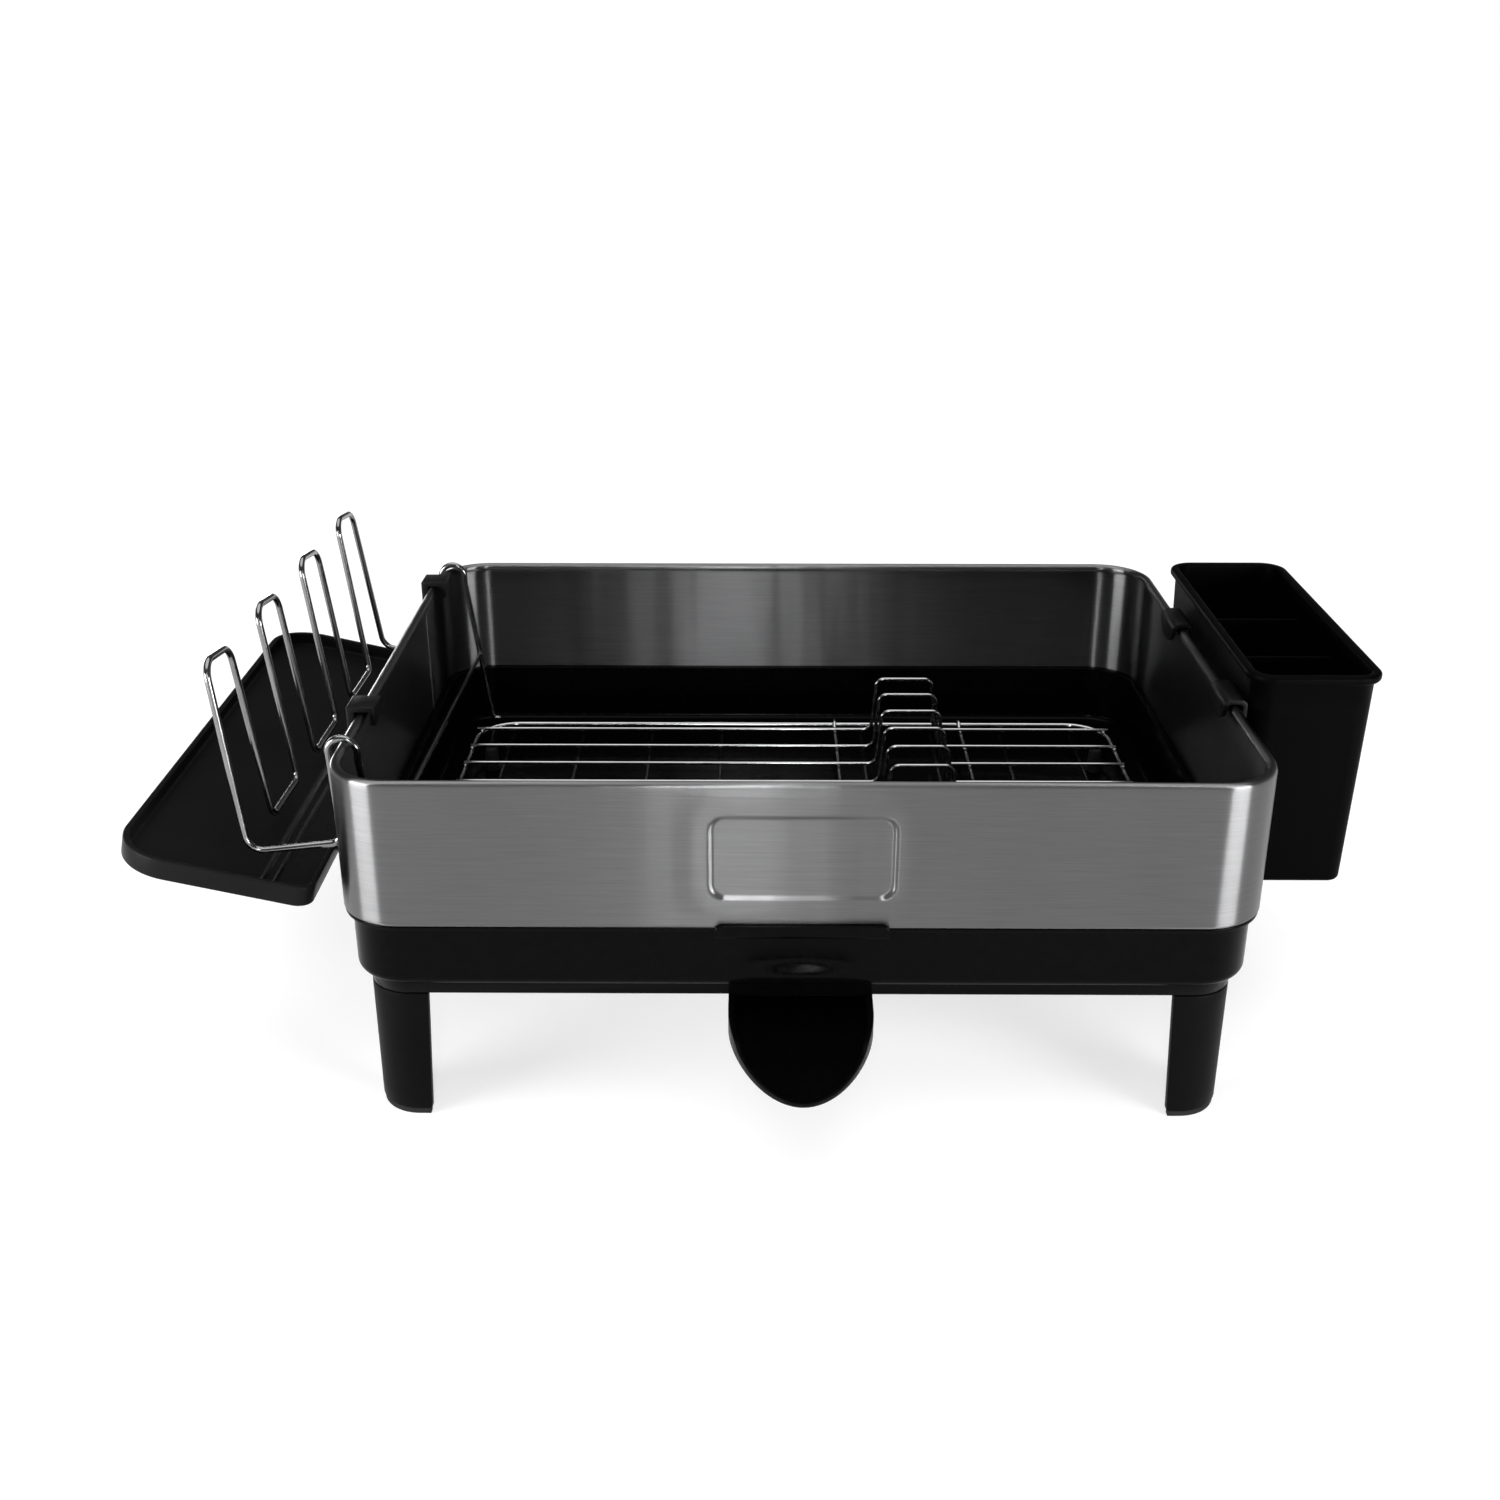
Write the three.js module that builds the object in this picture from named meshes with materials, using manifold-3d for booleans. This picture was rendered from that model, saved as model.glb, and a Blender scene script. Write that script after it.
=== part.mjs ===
// Countertop dish drying rack: a brushed steel frame on a footed drip tray with a swivel drain spout,
// a lift-out wire plate rack, a wire cup holder over a sloping side tray, and a hang-on utensil holder.
// Millimetres, +Z up, front of the rack towards -Y. Everything is laid out around the middle of the
// drip tray at counter level, and the finished group is centred on its own footprint at the end.

import * as THREE from 'three';
import { mergeVertices } from 'three/addons/utils/BufferGeometryUtils.js';
import Module from 'manifold-3d';

const wasm = await Module();
wasm.setup();

// ---- driving dimensions -------------------------------------------------------------------------

const GAP = 0.3;                    // clearance kept between pieces that rest on each other
const PAST = 1;                     // how far a cutter runs past the face it opens
const CORNER_STEPS = 4;             // fineness of the round corners of moulded and sheet parts
const SPOUT_STEPS = 8;
const NECK_STEPS = 12;

// steel frame: an upright band of sheet with a rolled bead round its top edge
const FRAME_LENGTH = 450;
const FRAME_WIDTH = 343.5;
const FRAME_CORNER = 32;
const FRAME_BOTTOM = 114.5;
const FRAME_TOP = 190;
const SHEET = 1.5;
const BEAD = 5;
const BEAD_EDGE = 2.2;              // rounding of the bead's edges
const PANEL = { length: 87, height: 42, middle: 151.5, corner: 7, depth: 1, edge: 1.2, margin: 2 };

// drip tray
const TRAY_INSET = 4;               // tray wall behind the face of the steel frame
const TRAY_WALL = 2.5;
const TRAY_STEP = 79;               // where the wall rounds in to the skirt
const TRAY_ROUND = 5;
const TRAY_FLOOR = 84.5;
const FLOOR_UNDERSIDE = 82;
const SKIRT_INSET = 10;             // skirt behind the face of the steel frame, sides
const SKIRT_BOTTOM = 71.5;
const FLANGE = { inset: 0.4, bottom: 112, top: FRAME_BOTTOM - GAP };
const LIP_TOP = 120;
const RIB = { width: 2.4, height: 1.2, length: 270, pitch: 45, perSide: 4 };
const TAB = { length: 84, bottom: 110.3, top: 117.4, proud: 3.2, corner: 3 };
const SCOOP = { length: 68, depth: 3, bottom: 83.5, top: 109.5, pad: 3.5 };

// legs and their pads
const LEG_ARM = 31.5;
const LEG_DRAFT = 3;                // how much narrower an arm is at the counter
const LEG_SHELL = 5;
const LEG_TENON = { arm: 25, shell: 3.5, bottom: 58, top: 80 };
const PAD_HEIGHT = 3;
const PAD_INSET = 0.6;

// drain spout
const SPOUT_PIVOT_Y = -128;
const SPOUT_HALF = 35.5;
const SPOUT_TIP = { y: -233, length: 62, shoulder: 22, nose: 20 };   // the tip narrows over its length
const SPOUT_WALL = 2.5;
const SPOUT_DECK = { bottom: 68.4, top: 71, front: -158 };
const SPOUT_FLOOR = { back: 57.5, tip: 54.2 };
const SPOUT_NOTCH = { y: -196, drop: 1.6 };
const NECK = { outer: 16, bore: 12.8, groove: 14.8, top: 87.8 };
const CLIP_RING = { outer: 20, height: 1.6, opening: 1.1 };

// plate rack
const RACK_HALF_LENGTH = 198;
const RACK_HALF_WIDTH = 121;
const RACK_CORNER = 25;
const RACK_WIRE = 3.2;              // perimeter
const THIN_WIRE = 2.2;              // dividers and cross wires
const DIVIDER_LEVEL = 100.8;
const DIVIDER_PITCH = 26.5;
const DIVIDERS_PER_SIDE = 4;
const HUMP = {
  left: 49.5, topLeft: 52, topRight: 86.5, right: 88.5, level: 134.8, footBend: 6, topBend: 5.2,
};
const CROSS_WIRE_X = [27, 106];
const CROSS_WIRE_STEP = { inset: 1.5, run: 4.5, bend: 2.5 };
const FOOT_STEPS = 16;
const RACK_FOOT = { x: 186, y: 3 * DIVIDER_PITCH, topRadius: 3.6, bottomRadius: 4.6 };

// cup holder, laid out around the middle of its two loops. It hangs slightly turned, because its back
// hook sits where the frame's corner has begun to curve in.
const CUP_WIRE = 3.7;
const CUP_HOLDER = { x: -219.9, y: 15, turn: -0.0235, half: 141 };
const CUP_HOOK = { radius: 7.4, level: 185.3, dropBend: 5, frontLean: 2.4 };
const CUP_LEG = { leanFrom: 181, leanBend: 12, bottom: 88, footX: 20.3, toe: 5, toeBend: 3 };
// The arm from each hook out to its tine, which splays beyond the hook. The two wires meet part of the
// way along, each ending at its own share of the way.
const CUP_ARM = { hookLevel: 136.5, tineLevel: 133.5, splay: 6, hookShare: 0.545, tineShare: 0.552 };
const TINE = { baseX: -49.9, topX: -61.7, frontTop: 231, backTop: 226.5, width: 35.5, count: 4 };
const TINE_BEND = { top: 9, foot: 5, outerFoot: 9 };
const CUP_BAR = { x: 14.1, level: 133, diameter: 3 };

// side tray
const SIDE_TRAY = { back: 178.5, front: -150, span: 100, height: 10.7, wall: 3, floor: 2.6 };
const SIDE_TRAY_EDGE = { x: -240.65, z: 111.6 };   // bottom of its inner edge
const SIDE_TRAY_TILT = THREE.MathUtils.degToRad(12.7);
const SIDE_TRAY_CORNERS = { outer: 28, inner: 9 };
const SIDE_TRAY_RIDGE = { inner: 26.9, outer: 28.9, height: 1.8 };
const SIDE_TRAY_GROOVE = { inner: 22, depth: 1.1 };  // beside the ridge, on the frame's side
const TRAY_CLIP_Y = [-79.3, 126.5];
const TRAY_CLIP = {
  width: 17, clearance: 0.4, arm: 4.2, cap: 3, chamfer: 1.2, shoulder: 6,
  lipClearance: 2.4, lip: 2.8, lipBottom: 183.2,
};

// utensil holder
const HOLDER = { x: 261, y: 14.6, length: 191, width: 63, top: 209, bottom: 90.5, corner: 11 };
const HOLDER_WALL = 2.2;
const HOLDER_TAPER = 3.3;           // each side, over the full height
const HOLDER_RIM = { overhang: 3, height: 4.6, edge: 1.6 };
const HOLDER_SLOT = { length: 34, width: 4, pitch: 13, perCompartment: 3 };
const DIVIDER_PLATE = { thickness: 2, top: 197 };
const HOLDER_DIVIDER_Y = [-20, 42];
const HOLDER_HOOK_Y = [-59, 59];
const HOLDER_HOOK = {
  width: 30, lipX: 216.8, lipBottom: 179.5, lipRound: 12.4, thickness: 2.6, webBottom: 171,
};

// ---- materials ----------------------------------------------------------------------------------

const materials = {
  steel: { color: 0x9a9a9c, roughness: 0.34, metalness: 1 },
  chrome: { color: 0xdadbdd, roughness: 0.08, metalness: 1 },
  blackPlastic: { color: 0x121213, roughness: 0.42, metalness: 0 },
  glossPlastic: { color: 0x0c0c0d, roughness: 0.2, metalness: 0 },
  mattPlastic: { color: 0x171718, roughness: 0.62, metalness: 0 },
  rubber: { color: 0x1c1c1c, roughness: 0.85, metalness: 0 },
};

// ---- solids -------------------------------------------------------------------------------------

// A closed geometry as a solid that can be joined and cut.
function solid(geometry) {
  geometry.deleteAttribute('normal');
  geometry.deleteAttribute('uv');
  const merged = mergeVertices(geometry, 1e-4);
  return new wasm.Manifold(new wasm.Mesh({
    numProp: 3,
    vertProperties: new Float32Array(merged.attributes.position.array),
    triVerts: new Uint32Array(merged.index.array),
  }));
}

function geometryOf(body) {
  const mesh = body.getMesh();
  const geometry = new THREE.BufferGeometry();
  geometry.setAttribute('position', new THREE.BufferAttribute(mesh.vertProperties, 3));
  geometry.setIndex(new THREE.BufferAttribute(mesh.triVerts, 1));
  geometry.computeVertexNormals();
  return geometry;
}

function join(...bodies) {
  return bodies.reduce((whole, body) => whole.add(body));
}

function cut(body, ...cutters) {
  return cutters.reduce((rest, cutter) => rest.subtract(cutter), body);
}

// A rectangle centred on (x, y) with round corners.
function roundedRect(length, width, radius, x = 0, y = 0) {
  const halfLength = length / 2 - radius;
  const halfWidth = width / 2 - radius;
  const shape = new THREE.Shape();
  shape.absarc(x + halfLength, y + halfWidth, radius, 0, Math.PI / 2);
  shape.absarc(x - halfLength, y + halfWidth, radius, Math.PI / 2, Math.PI);
  shape.absarc(x - halfLength, y - halfWidth, radius, Math.PI, 1.5 * Math.PI);
  shape.absarc(x + halfLength, y - halfWidth, radius, 1.5 * Math.PI, 2 * Math.PI);
  shape.closePath();
  return shape;
}

// The outline of the steel frame, moved inwards everywhere by the inset.
function frameOutline(inset) {
  return roundedRect(FRAME_LENGTH - 2 * inset, FRAME_WIDTH - 2 * inset, FRAME_CORNER - inset);
}

function circle(radius, x = 0, y = 0) {
  return new THREE.Shape().absarc(x, y, radius, 0, 2 * Math.PI);
}

function polygon(...points) {
  return new THREE.Shape(points.map(([x, y]) => new THREE.Vector2(x, y)));
}

function rectangle(left, bottom, right, top) {
  return polygon([left, bottom], [right, bottom], [right, top], [left, top]);
}

function extrusion(shape, depth, steps = CORNER_STEPS) {
  return new THREE.ExtrudeGeometry(shape, { depth, bevelEnabled: false, curveSegments: steps });
}

// A plan outline standing up from one level to another.
function upright(shape, bottom, top, steps) {
  return solid(extrusion(shape, top - bottom, steps).translate(0, 0, bottom));
}

// An outline drawn in X and Z, running along Y.
function alongY(shape, from, to, steps) {
  return solid(extrusion(shape, to - from, steps).rotateX(Math.PI / 2).translate(0, to, 0));
}

// An outline drawn in Y and Z, running along X.
function alongX(shape, from, to, steps) {
  const geometry = extrusion(shape, to - from, steps).rotateX(Math.PI / 2).rotateZ(Math.PI / 2);
  return solid(geometry.translate(from, 0, 0));
}

// An upright plan outline whose top and bottom edges are rounded by the edge radius.
function rounded(shape, bottom, top, edge) {
  const geometry = new THREE.ExtrudeGeometry(shape, {
    depth: top - bottom - 2 * edge,
    bevelThickness: edge,
    bevelSize: edge,
    bevelOffset: -edge,
    bevelSegments: 2,
    curveSegments: CORNER_STEPS,
  });
  return solid(geometry.translate(0, 0, bottom + edge));
}

// ---- wires --------------------------------------------------------------------------------------

// A curve that an extrusion follows station by station, so that straight runs cost one step.
class StationCurve extends THREE.Curve {
  constructor(stations) {
    super();
    this.stations = stations;
  }

  at(u) {
    return this.stations[Math.round(u * (this.stations.length - 1))];
  }

  getPointAt(u, target = new THREE.Vector3()) {
    return target.copy(this.at(u).point);
  }

  getTangentAt(u, target = new THREE.Vector3()) {
    return target.copy(this.at(u).tangent);
  }
}

// Stations along a bent rod: straight between the corners, with an arc of the bend radius at each.
// A corner is [x, y, z] or [x, y, z, radius].
function bend(corners, radius) {
  const arcStep = Math.PI / 6;
  const points = corners.map(([x, y, z]) => new THREE.Vector3(x, y, z));
  const heading = (i) => points[i + 1].clone().sub(points[i]).normalize();
  const last = points.length - 1;
  const stations = [{ point: points[0], tangent: heading(0) }];
  for (let i = 1; i < last; i += 1) {
    const into = heading(i - 1);
    const out = heading(i);
    const turn = into.angleTo(out);
    const bendRadius = corners[i][3] ?? radius;
    const start = points[i].clone().addScaledVector(into, -bendRadius * Math.tan(turn / 2));
    const side = out.clone().addScaledVector(into, -out.dot(into)).normalize();
    const centre = start.clone().addScaledVector(side, bendRadius);
    const steps = Math.ceil(turn / arcStep);
    for (let k = 0; k <= steps; k += 1) {
      const angle = (turn * k) / steps;
      const point = centre.clone()
        .addScaledVector(side, -bendRadius * Math.cos(angle))
        .addScaledVector(into, bendRadius * Math.sin(angle));
      const tangent = into.clone().multiplyScalar(Math.cos(angle)).addScaledVector(side, Math.sin(angle));
      stations.push({ point, tangent });
    }
  }
  stations.push({ point: points[last], tangent: heading(last - 1) });
  return stations;
}

// A round wire bent through the corners.
function wire(corners, radius, diameter) {
  const stations = bend(corners, radius);
  return new THREE.ExtrudeGeometry(circle(diameter / 2), {
    steps: stations.length - 1,
    extrudePath: new StationCurve(stations),
    curveSegments: 4,
  });
}

// ---- steel frame --------------------------------------------------------------------------------

function steelFrame() {
  const { length, height, middle, corner, depth, edge, margin } = PANEL;
  const front = -FRAME_WIDTH / 2;
  const wall = upright(ring(0, SHEET), FRAME_BOTTOM, FRAME_TOP - BEAD / 2);
  const bead = rounded(ring(0, BEAD), FRAME_TOP - BEAD, FRAME_TOP, BEAD_EDGE);
  // the pressed panel: a shallow tray in the front face, with its back standing out inside
  const backShape = roundedRect(length + 2 * margin, height + 2 * margin, corner + margin, 0, middle);
  const backing = alongY(backShape, front + depth, front + depth + SHEET);
  const recess = new THREE.ExtrudeGeometry(roundedRect(length, height, corner, 0, middle), {
    depth: PAST,
    bevelThickness: depth,
    bevelSize: edge,
    bevelOffset: -edge,
    bevelSegments: 1,
    curveSegments: CORNER_STEPS,
  });
  const pressing = solid(recess.rotateX(Math.PI / 2).translate(0, front, 0));
  return cut(join(wall, bead, backing), pressing);
}

// A band between two insets of the frame's outline.
function ring(outerInset, innerInset) {
  const shape = frameOutline(outerInset);
  shape.holes.push(frameOutline(innerInset));
  return shape;
}

// ---- drip tray ----------------------------------------------------------------------------------

function dripTray() {
  const front = -FRAME_WIDTH / 2;
  const straightFrom = TRAY_STEP + TRAY_ROUND;
  const bowl = rounded(frameOutline(TRAY_INSET), TRAY_STEP, straightFrom + 4 * TRAY_ROUND, TRAY_ROUND);
  const wall = upright(frameOutline(TRAY_INSET), straightFrom + TRAY_ROUND, FLANGE.top);
  const flange = upright(frameOutline(FLANGE.inset), FLANGE.bottom, FLANGE.top);
  const lip = upright(frameOutline(SHEET + 2 * GAP), FLANGE.bottom, LIP_TOP);
  const skirt = upright(frameOutline(SKIRT_INSET), SKIRT_BOTTOM, FLOOR_UNDERSIDE);
  const outside = join(bowl, wall, flange, lip, skirt, retainingTab(front));

  const inside = upright(frameOutline(TRAY_INSET + TRAY_WALL), TRAY_FLOOR, LIP_TOP + PAST);
  const underside = upright(frameOutline(SKIRT_INSET + TRAY_WALL), SKIRT_BOTTOM - PAST, FLOOR_UNDERSIDE);
  const shell = cut(outside, inside, underside);

  const drainShape = circle(NECK.outer + GAP, 0, SPOUT_PIVOT_Y);
  const drain = upright(drainShape, SKIRT_BOTTOM, TRAY_FLOOR + PAST, NECK_STEPS);
  return cut(join(shell, scoopPad(front), ...floorRibs()), scoopCutter(front), drain);
}

// The proud lip at the front that keeps the steel frame seated.
function retainingTab(front) {
  const { length, bottom, top, proud, corner } = TAB;
  const face = roundedRect(length, top - bottom, corner, 0, (top + bottom) / 2);
  const plate = alongY(face, front - proud, front - GAP);
  const rootFace = rectangle(-length / 2 + corner, bottom, length / 2 - corner, FLANGE.top);
  const root = alongY(rootFace, front - proud, front + TRAY_INSET + PAST);
  return join(plate, root);
}

// Extra thickness behind the finger scoop under the tab.
function scoopPad(front) {
  const { length, bottom, top, pad } = SCOOP;
  const inner = front + TRAY_INSET + TRAY_WALL;
  return alongY(rectangle(-length / 2, bottom, length / 2, top), inner - PAST, inner + pad);
}

function scoopCutter(front) {
  const { length, depth, bottom, top } = SCOOP;
  const radius = ((length / 2) ** 2 + depth ** 2) / (2 * depth);
  const faceY = front + TRAY_INSET;
  const half = Math.asin(length / 2 / radius);
  const bowl = new THREE.Shape();
  bowl.absarc(0, faceY + depth - radius, radius, Math.PI / 2 + half, Math.PI / 2 - half, true);
  bowl.lineTo(length / 2, faceY - PAST);
  bowl.lineTo(-length / 2, faceY - PAST);
  bowl.closePath();
  return upright(bowl, bottom, top, 6);
}

// Low ridges that keep the rack's feet and the dishes out of the water.
function floorRibs() {
  const ribs = [];
  for (let i = -RIB.perSide; i <= RIB.perSide; i += 1) {
    if (i !== 0) {
      const x = i * RIB.pitch;
      const shape = rectangle(x - RIB.width / 2, -RIB.length / 2, x + RIB.width / 2, RIB.length / 2);
      ribs.push(upright(shape, TRAY_FLOOR - PAST, TRAY_FLOOR + RIB.height));
    }
  }
  return ribs;
}

// ---- legs ---------------------------------------------------------------------------------------

// An L-shaped band round one corner, with the outer corner at the origin and its arms along -X and -Y.
function cornerBand(outerInset, innerInset, armX, armY, bottom, top) {
  const side = 4 * LEG_ARM;
  const radius = FRAME_CORNER - SKIRT_INSET;
  const square = (inset) => {
    const across = side - 2 * inset;
    return roundedRect(across, across, radius - inset, -side / 2, -side / 2);
  };
  const band = square(outerInset);
  band.holes.push(square(innerInset));
  const keep = rectangle(-armX, -armY, PAST, PAST);
  return upright(band, bottom, top).intersect(upright(keep, bottom, top));
}

// The leg's arms get narrower towards the counter.
function leg() {
  const bottom = PAD_HEIGHT + GAP;
  const top = SKIRT_BOTTOM - GAP;
  const draft = polygon([-LEG_ARM, top], [-LEG_ARM + LEG_DRAFT, 0], [PAST, 0], [PAST, top]);
  const shell = cornerBand(0, LEG_SHELL, LEG_ARM, LEG_ARM, bottom, top)
    .intersect(alongY(draft, -LEG_ARM, PAST))
    .intersect(alongX(draft, -LEG_ARM, PAST));
  const inset = TRAY_WALL + GAP;
  const { arm, shell: thickness, bottom: tenonBottom, top: tenonTop } = LEG_TENON;
  const tenon = cornerBand(inset, inset + thickness, arm, arm, tenonBottom, tenonTop);
  return join(shell, tenon);
}

function legPad() {
  const arm = LEG_ARM - LEG_DRAFT - PAD_INSET;
  return cornerBand(PAD_INSET, LEG_SHELL - PAD_INSET, arm, arm, 0, PAD_HEIGHT);
}

// ---- drain spout --------------------------------------------------------------------------------

// The tongue's plan: round at the pivot end, straight sides, and a nose that narrows over its length.
function tongue(inset) {
  const { y, length, shoulder, nose } = SPOUT_TIP;
  const half = SPOUT_HALF - inset;
  const tip = y + inset;
  const shape = new THREE.Shape();
  shape.absarc(0, SPOUT_PIVOT_Y, half, 0, Math.PI);
  shape.lineTo(-half, tip + length);
  shape.bezierCurveTo(-half, tip + length - shoulder, -nose, tip, 0, tip);
  shape.bezierCurveTo(nose, tip, half, tip + length - shoulder, half, tip + length);
  shape.closePath();
  return shape;
}

function spout() {
  const back = SPOUT_PIVOT_Y + SPOUT_HALF + PAST;
  const wide = SPOUT_HALF + PAST;
  const { y: notch, drop } = SPOUT_NOTCH;
  const tipRim = SPOUT_FLOOR.tip + SPOUT_WALL;
  const fall = (SPOUT_DECK.top - tipRim) / (SPOUT_DECK.front - SPOUT_TIP.y);
  const rimAt = (y) => SPOUT_DECK.top - fall * (SPOUT_DECK.front - y);
  const side = polygon(
    [back, SPOUT_FLOOR.back], [back, SPOUT_DECK.top], [SPOUT_DECK.front, SPOUT_DECK.top],
    [notch, rimAt(notch)], [notch, rimAt(notch) - drop],
    [SPOUT_TIP.y, tipRim], [SPOUT_TIP.y, SPOUT_FLOOR.tip],
  );
  const outside = upright(tongue(0), 0, FRAME_BOTTOM, SPOUT_STEPS).intersect(alongX(side, -wide, wide));

  // the channel, roofed by the deck as far as the tray's edge and open in front of it
  const floor = SPOUT_WALL;
  const channelSide = polygon(
    [back, SPOUT_FLOOR.back + floor], [back, SPOUT_DECK.bottom], [SPOUT_DECK.front, SPOUT_DECK.bottom],
    [SPOUT_DECK.front, FRAME_BOTTOM], [SPOUT_TIP.y, FRAME_BOTTOM], [SPOUT_TIP.y, SPOUT_FLOOR.tip + floor],
  );
  const channel = upright(tongue(SPOUT_WALL), 0, FRAME_BOTTOM, SPOUT_STEPS)
    .intersect(alongX(channelSide, -wide, wide));

  const grooveBottom = TRAY_FLOOR + GAP;
  const grooveTop = grooveBottom + CLIP_RING.height + GAP;
  const neck = upright(circle(NECK.outer, 0, SPOUT_PIVOT_Y), SPOUT_DECK.bottom, NECK.top, NECK_STEPS);
  const grooveRing = circle(NECK.outer + PAST, 0, SPOUT_PIVOT_Y);
  grooveRing.holes.push(circle(NECK.groove, 0, SPOUT_PIVOT_Y));
  const groove = upright(grooveRing, grooveBottom, grooveTop, NECK_STEPS);
  const boreShape = circle(NECK.bore, 0, SPOUT_PIVOT_Y);
  const bore = upright(boreShape, SPOUT_DECK.bottom - PAST, NECK.top + PAST, NECK_STEPS);
  return cut(join(cut(outside, channel), neck), groove, bore);
}

// A C-shaped ring that snaps into the neck's groove and holds the spout up in the tray.
function spoutClipRing() {
  const { outer, height, opening } = CLIP_RING;
  const inner = NECK.groove + GAP;
  const bottom = TRAY_FLOOR + 1.5 * GAP;
  const start = -Math.PI / 2 + opening / 2;
  const end = 1.5 * Math.PI - opening / 2;
  const shape = new THREE.Shape();
  shape.absarc(0, SPOUT_PIVOT_Y, outer, start, end);
  shape.absarc(0, SPOUT_PIVOT_Y, inner, end, start, true);
  shape.closePath();
  return upright(shape, bottom, bottom + height - GAP, NECK_STEPS);
}

// ---- plate rack ---------------------------------------------------------------------------------

const PERIMETER_LEVEL = DIVIDER_LEVEL - THIN_WIRE / 2 - GAP - RACK_WIRE / 2;
const CROSS_LEVEL = DIVIDER_LEVEL - THIN_WIRE - GAP;

// The rectangular hoop, butted at the middle of its front run.
function rackPerimeter() {
  const x = RACK_HALF_LENGTH;
  const y = RACK_HALF_WIDTH;
  const z = PERIMETER_LEVEL;
  const corners = [[-GAP / 2, -y, z], [-x, -y, z], [-x, y, z], [x, y, z], [x, -y, z], [GAP / 2, -y, z]];
  return wire(corners, RACK_CORNER, RACK_WIRE);
}

// One lengthwise wire with the hump that keeps two plates apart.
function rackDivider(y) {
  const end = RACK_HALF_LENGTH + RACK_WIRE / 2 - GAP;
  const z = DIVIDER_LEVEL;
  const { left, topLeft, topRight, right, level, footBend, topBend } = HUMP;
  const corners = [
    [-end, y, z], [left, y, z], [topLeft, y, level, topBend],
    [topRight, y, level, topBend], [right, y, z], [end, y, z],
  ];
  return wire(corners, footBend, THIN_WIRE);
}

// A wire under the dividers whose ends step up over the perimeter.
function rackCrossWire(x) {
  const end = RACK_HALF_WIDTH + RACK_WIRE;
  const stepTop = RACK_HALF_WIDTH - RACK_WIRE / 2 - CROSS_WIRE_STEP.inset;
  const stepBottom = stepTop - CROSS_WIRE_STEP.run;
  const over = PERIMETER_LEVEL + RACK_WIRE / 2 + GAP + THIN_WIRE / 2;
  const corners = [
    [x, -end, over], [x, -stepTop, over], [x, -stepBottom, CROSS_LEVEL],
    [x, stepBottom, CROSS_LEVEL], [x, stepTop, over], [x, end, over],
  ];
  return wire(corners, CROSS_WIRE_STEP.bend, THIN_WIRE);
}

function rackFoot() {
  const bottom = TRAY_FLOOR + GAP;
  const top = DIVIDER_LEVEL - THIN_WIRE / 2 - GAP;
  const { topRadius, bottomRadius } = RACK_FOOT;
  const profile = [[0, bottom], [bottomRadius, bottom], [topRadius, top], [0, top]];
  const points = profile.map(([r, z]) => new THREE.Vector2(r, z));
  return new THREE.LatheGeometry(points, FOOT_STEPS).rotateX(Math.PI / 2);
}

// ---- cup holder ---------------------------------------------------------------------------------

// The bottom of a hook's outer drop. Side is -1 at the front, where the drop leans in to the frame,
// and 1 at the back.
function hookDropEnd(side) {
  const lean = side < 0 ? CUP_HOOK.frontLean : 0;
  return [lean - CUP_HOOK.radius, side * CUP_HOLDER.half, CUP_ARM.hookLevel];
}

// The foot of the outer tine on one side.
function outerTineFoot(side) {
  return [TINE.baseX, side * (CUP_HOLDER.half + CUP_ARM.splay), CUP_ARM.tineLevel];
}

// The point on the arm at a share of the way from the hook to the tine.
function alongArm(side, share) {
  const end = outerTineFoot(side);
  return hookDropEnd(side).map((value, axis) => value + (end[axis] - value) * share);
}

// Over the frame's rim: the long leg inside, the loop, the outer drop, and the start of the arm.
function cupHook(side) {
  const { radius, level, dropBend } = CUP_HOOK;
  const { leanFrom, leanBend, bottom, footX, toe, toeBend } = CUP_LEG;
  const y = side * CUP_HOLDER.half;
  const loopTop = level + radius;
  const corners = [
    [footX + toe, y, bottom], [footX, y, bottom, toeBend], [radius, y, leanFrom, leanBend],
    [radius, y, loopTop], [-radius, y, loopTop],
    [...hookDropEnd(side), dropBend], alongArm(side, CUP_ARM.hookShare),
  ];
  return wire(corners, radius, CUP_WIRE);
}

// One upright loop that a cup hangs over. Its feet run on along the base to the next tine, and the
// outer feet of the first and last tine turn in to meet the hooks' arms.
function cupTine(i) {
  const { baseX, topX, frontTop, backTop, width, count } = TINE;
  const { half } = CUP_HOLDER;
  const z = CUP_ARM.tineLevel;
  const pitch = (2 * half - width) / (count - 1);
  const front = -half + i * pitch;
  const back = front + width;
  const reach = (pitch - width - GAP) / 2;
  const innerFront = [[baseX, front - reach, z], [baseX, front, z]];
  const innerBack = [[baseX, back, z], [baseX, back + reach, z]];
  const outerFoot = (side) => [...outerTineFoot(side), TINE_BEND.outerFoot];
  const frontFoot = i === 0 ? [alongArm(-1, CUP_ARM.tineShare), outerFoot(-1)] : innerFront;
  const backFoot = i === count - 1 ? [outerFoot(1), alongArm(1, CUP_ARM.tineShare)] : innerBack;
  const corners = [
    ...frontFoot, [topX, front, frontTop, TINE_BEND.top],
    [topX, back, backTop, TINE_BEND.top], ...backFoot,
  ];
  return wire(corners, TINE_BEND.foot, CUP_WIRE);
}

// The straight rod between the two inner legs.
function cupBar() {
  const end = CUP_HOLDER.half - CUP_WIRE / 2 - GAP;
  const { x, level, diameter } = CUP_BAR;
  return wire([[x, -end, level], [x, end, level]], diameter, diameter);
}

// ---- side tray ----------------------------------------------------------------------------------

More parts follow.
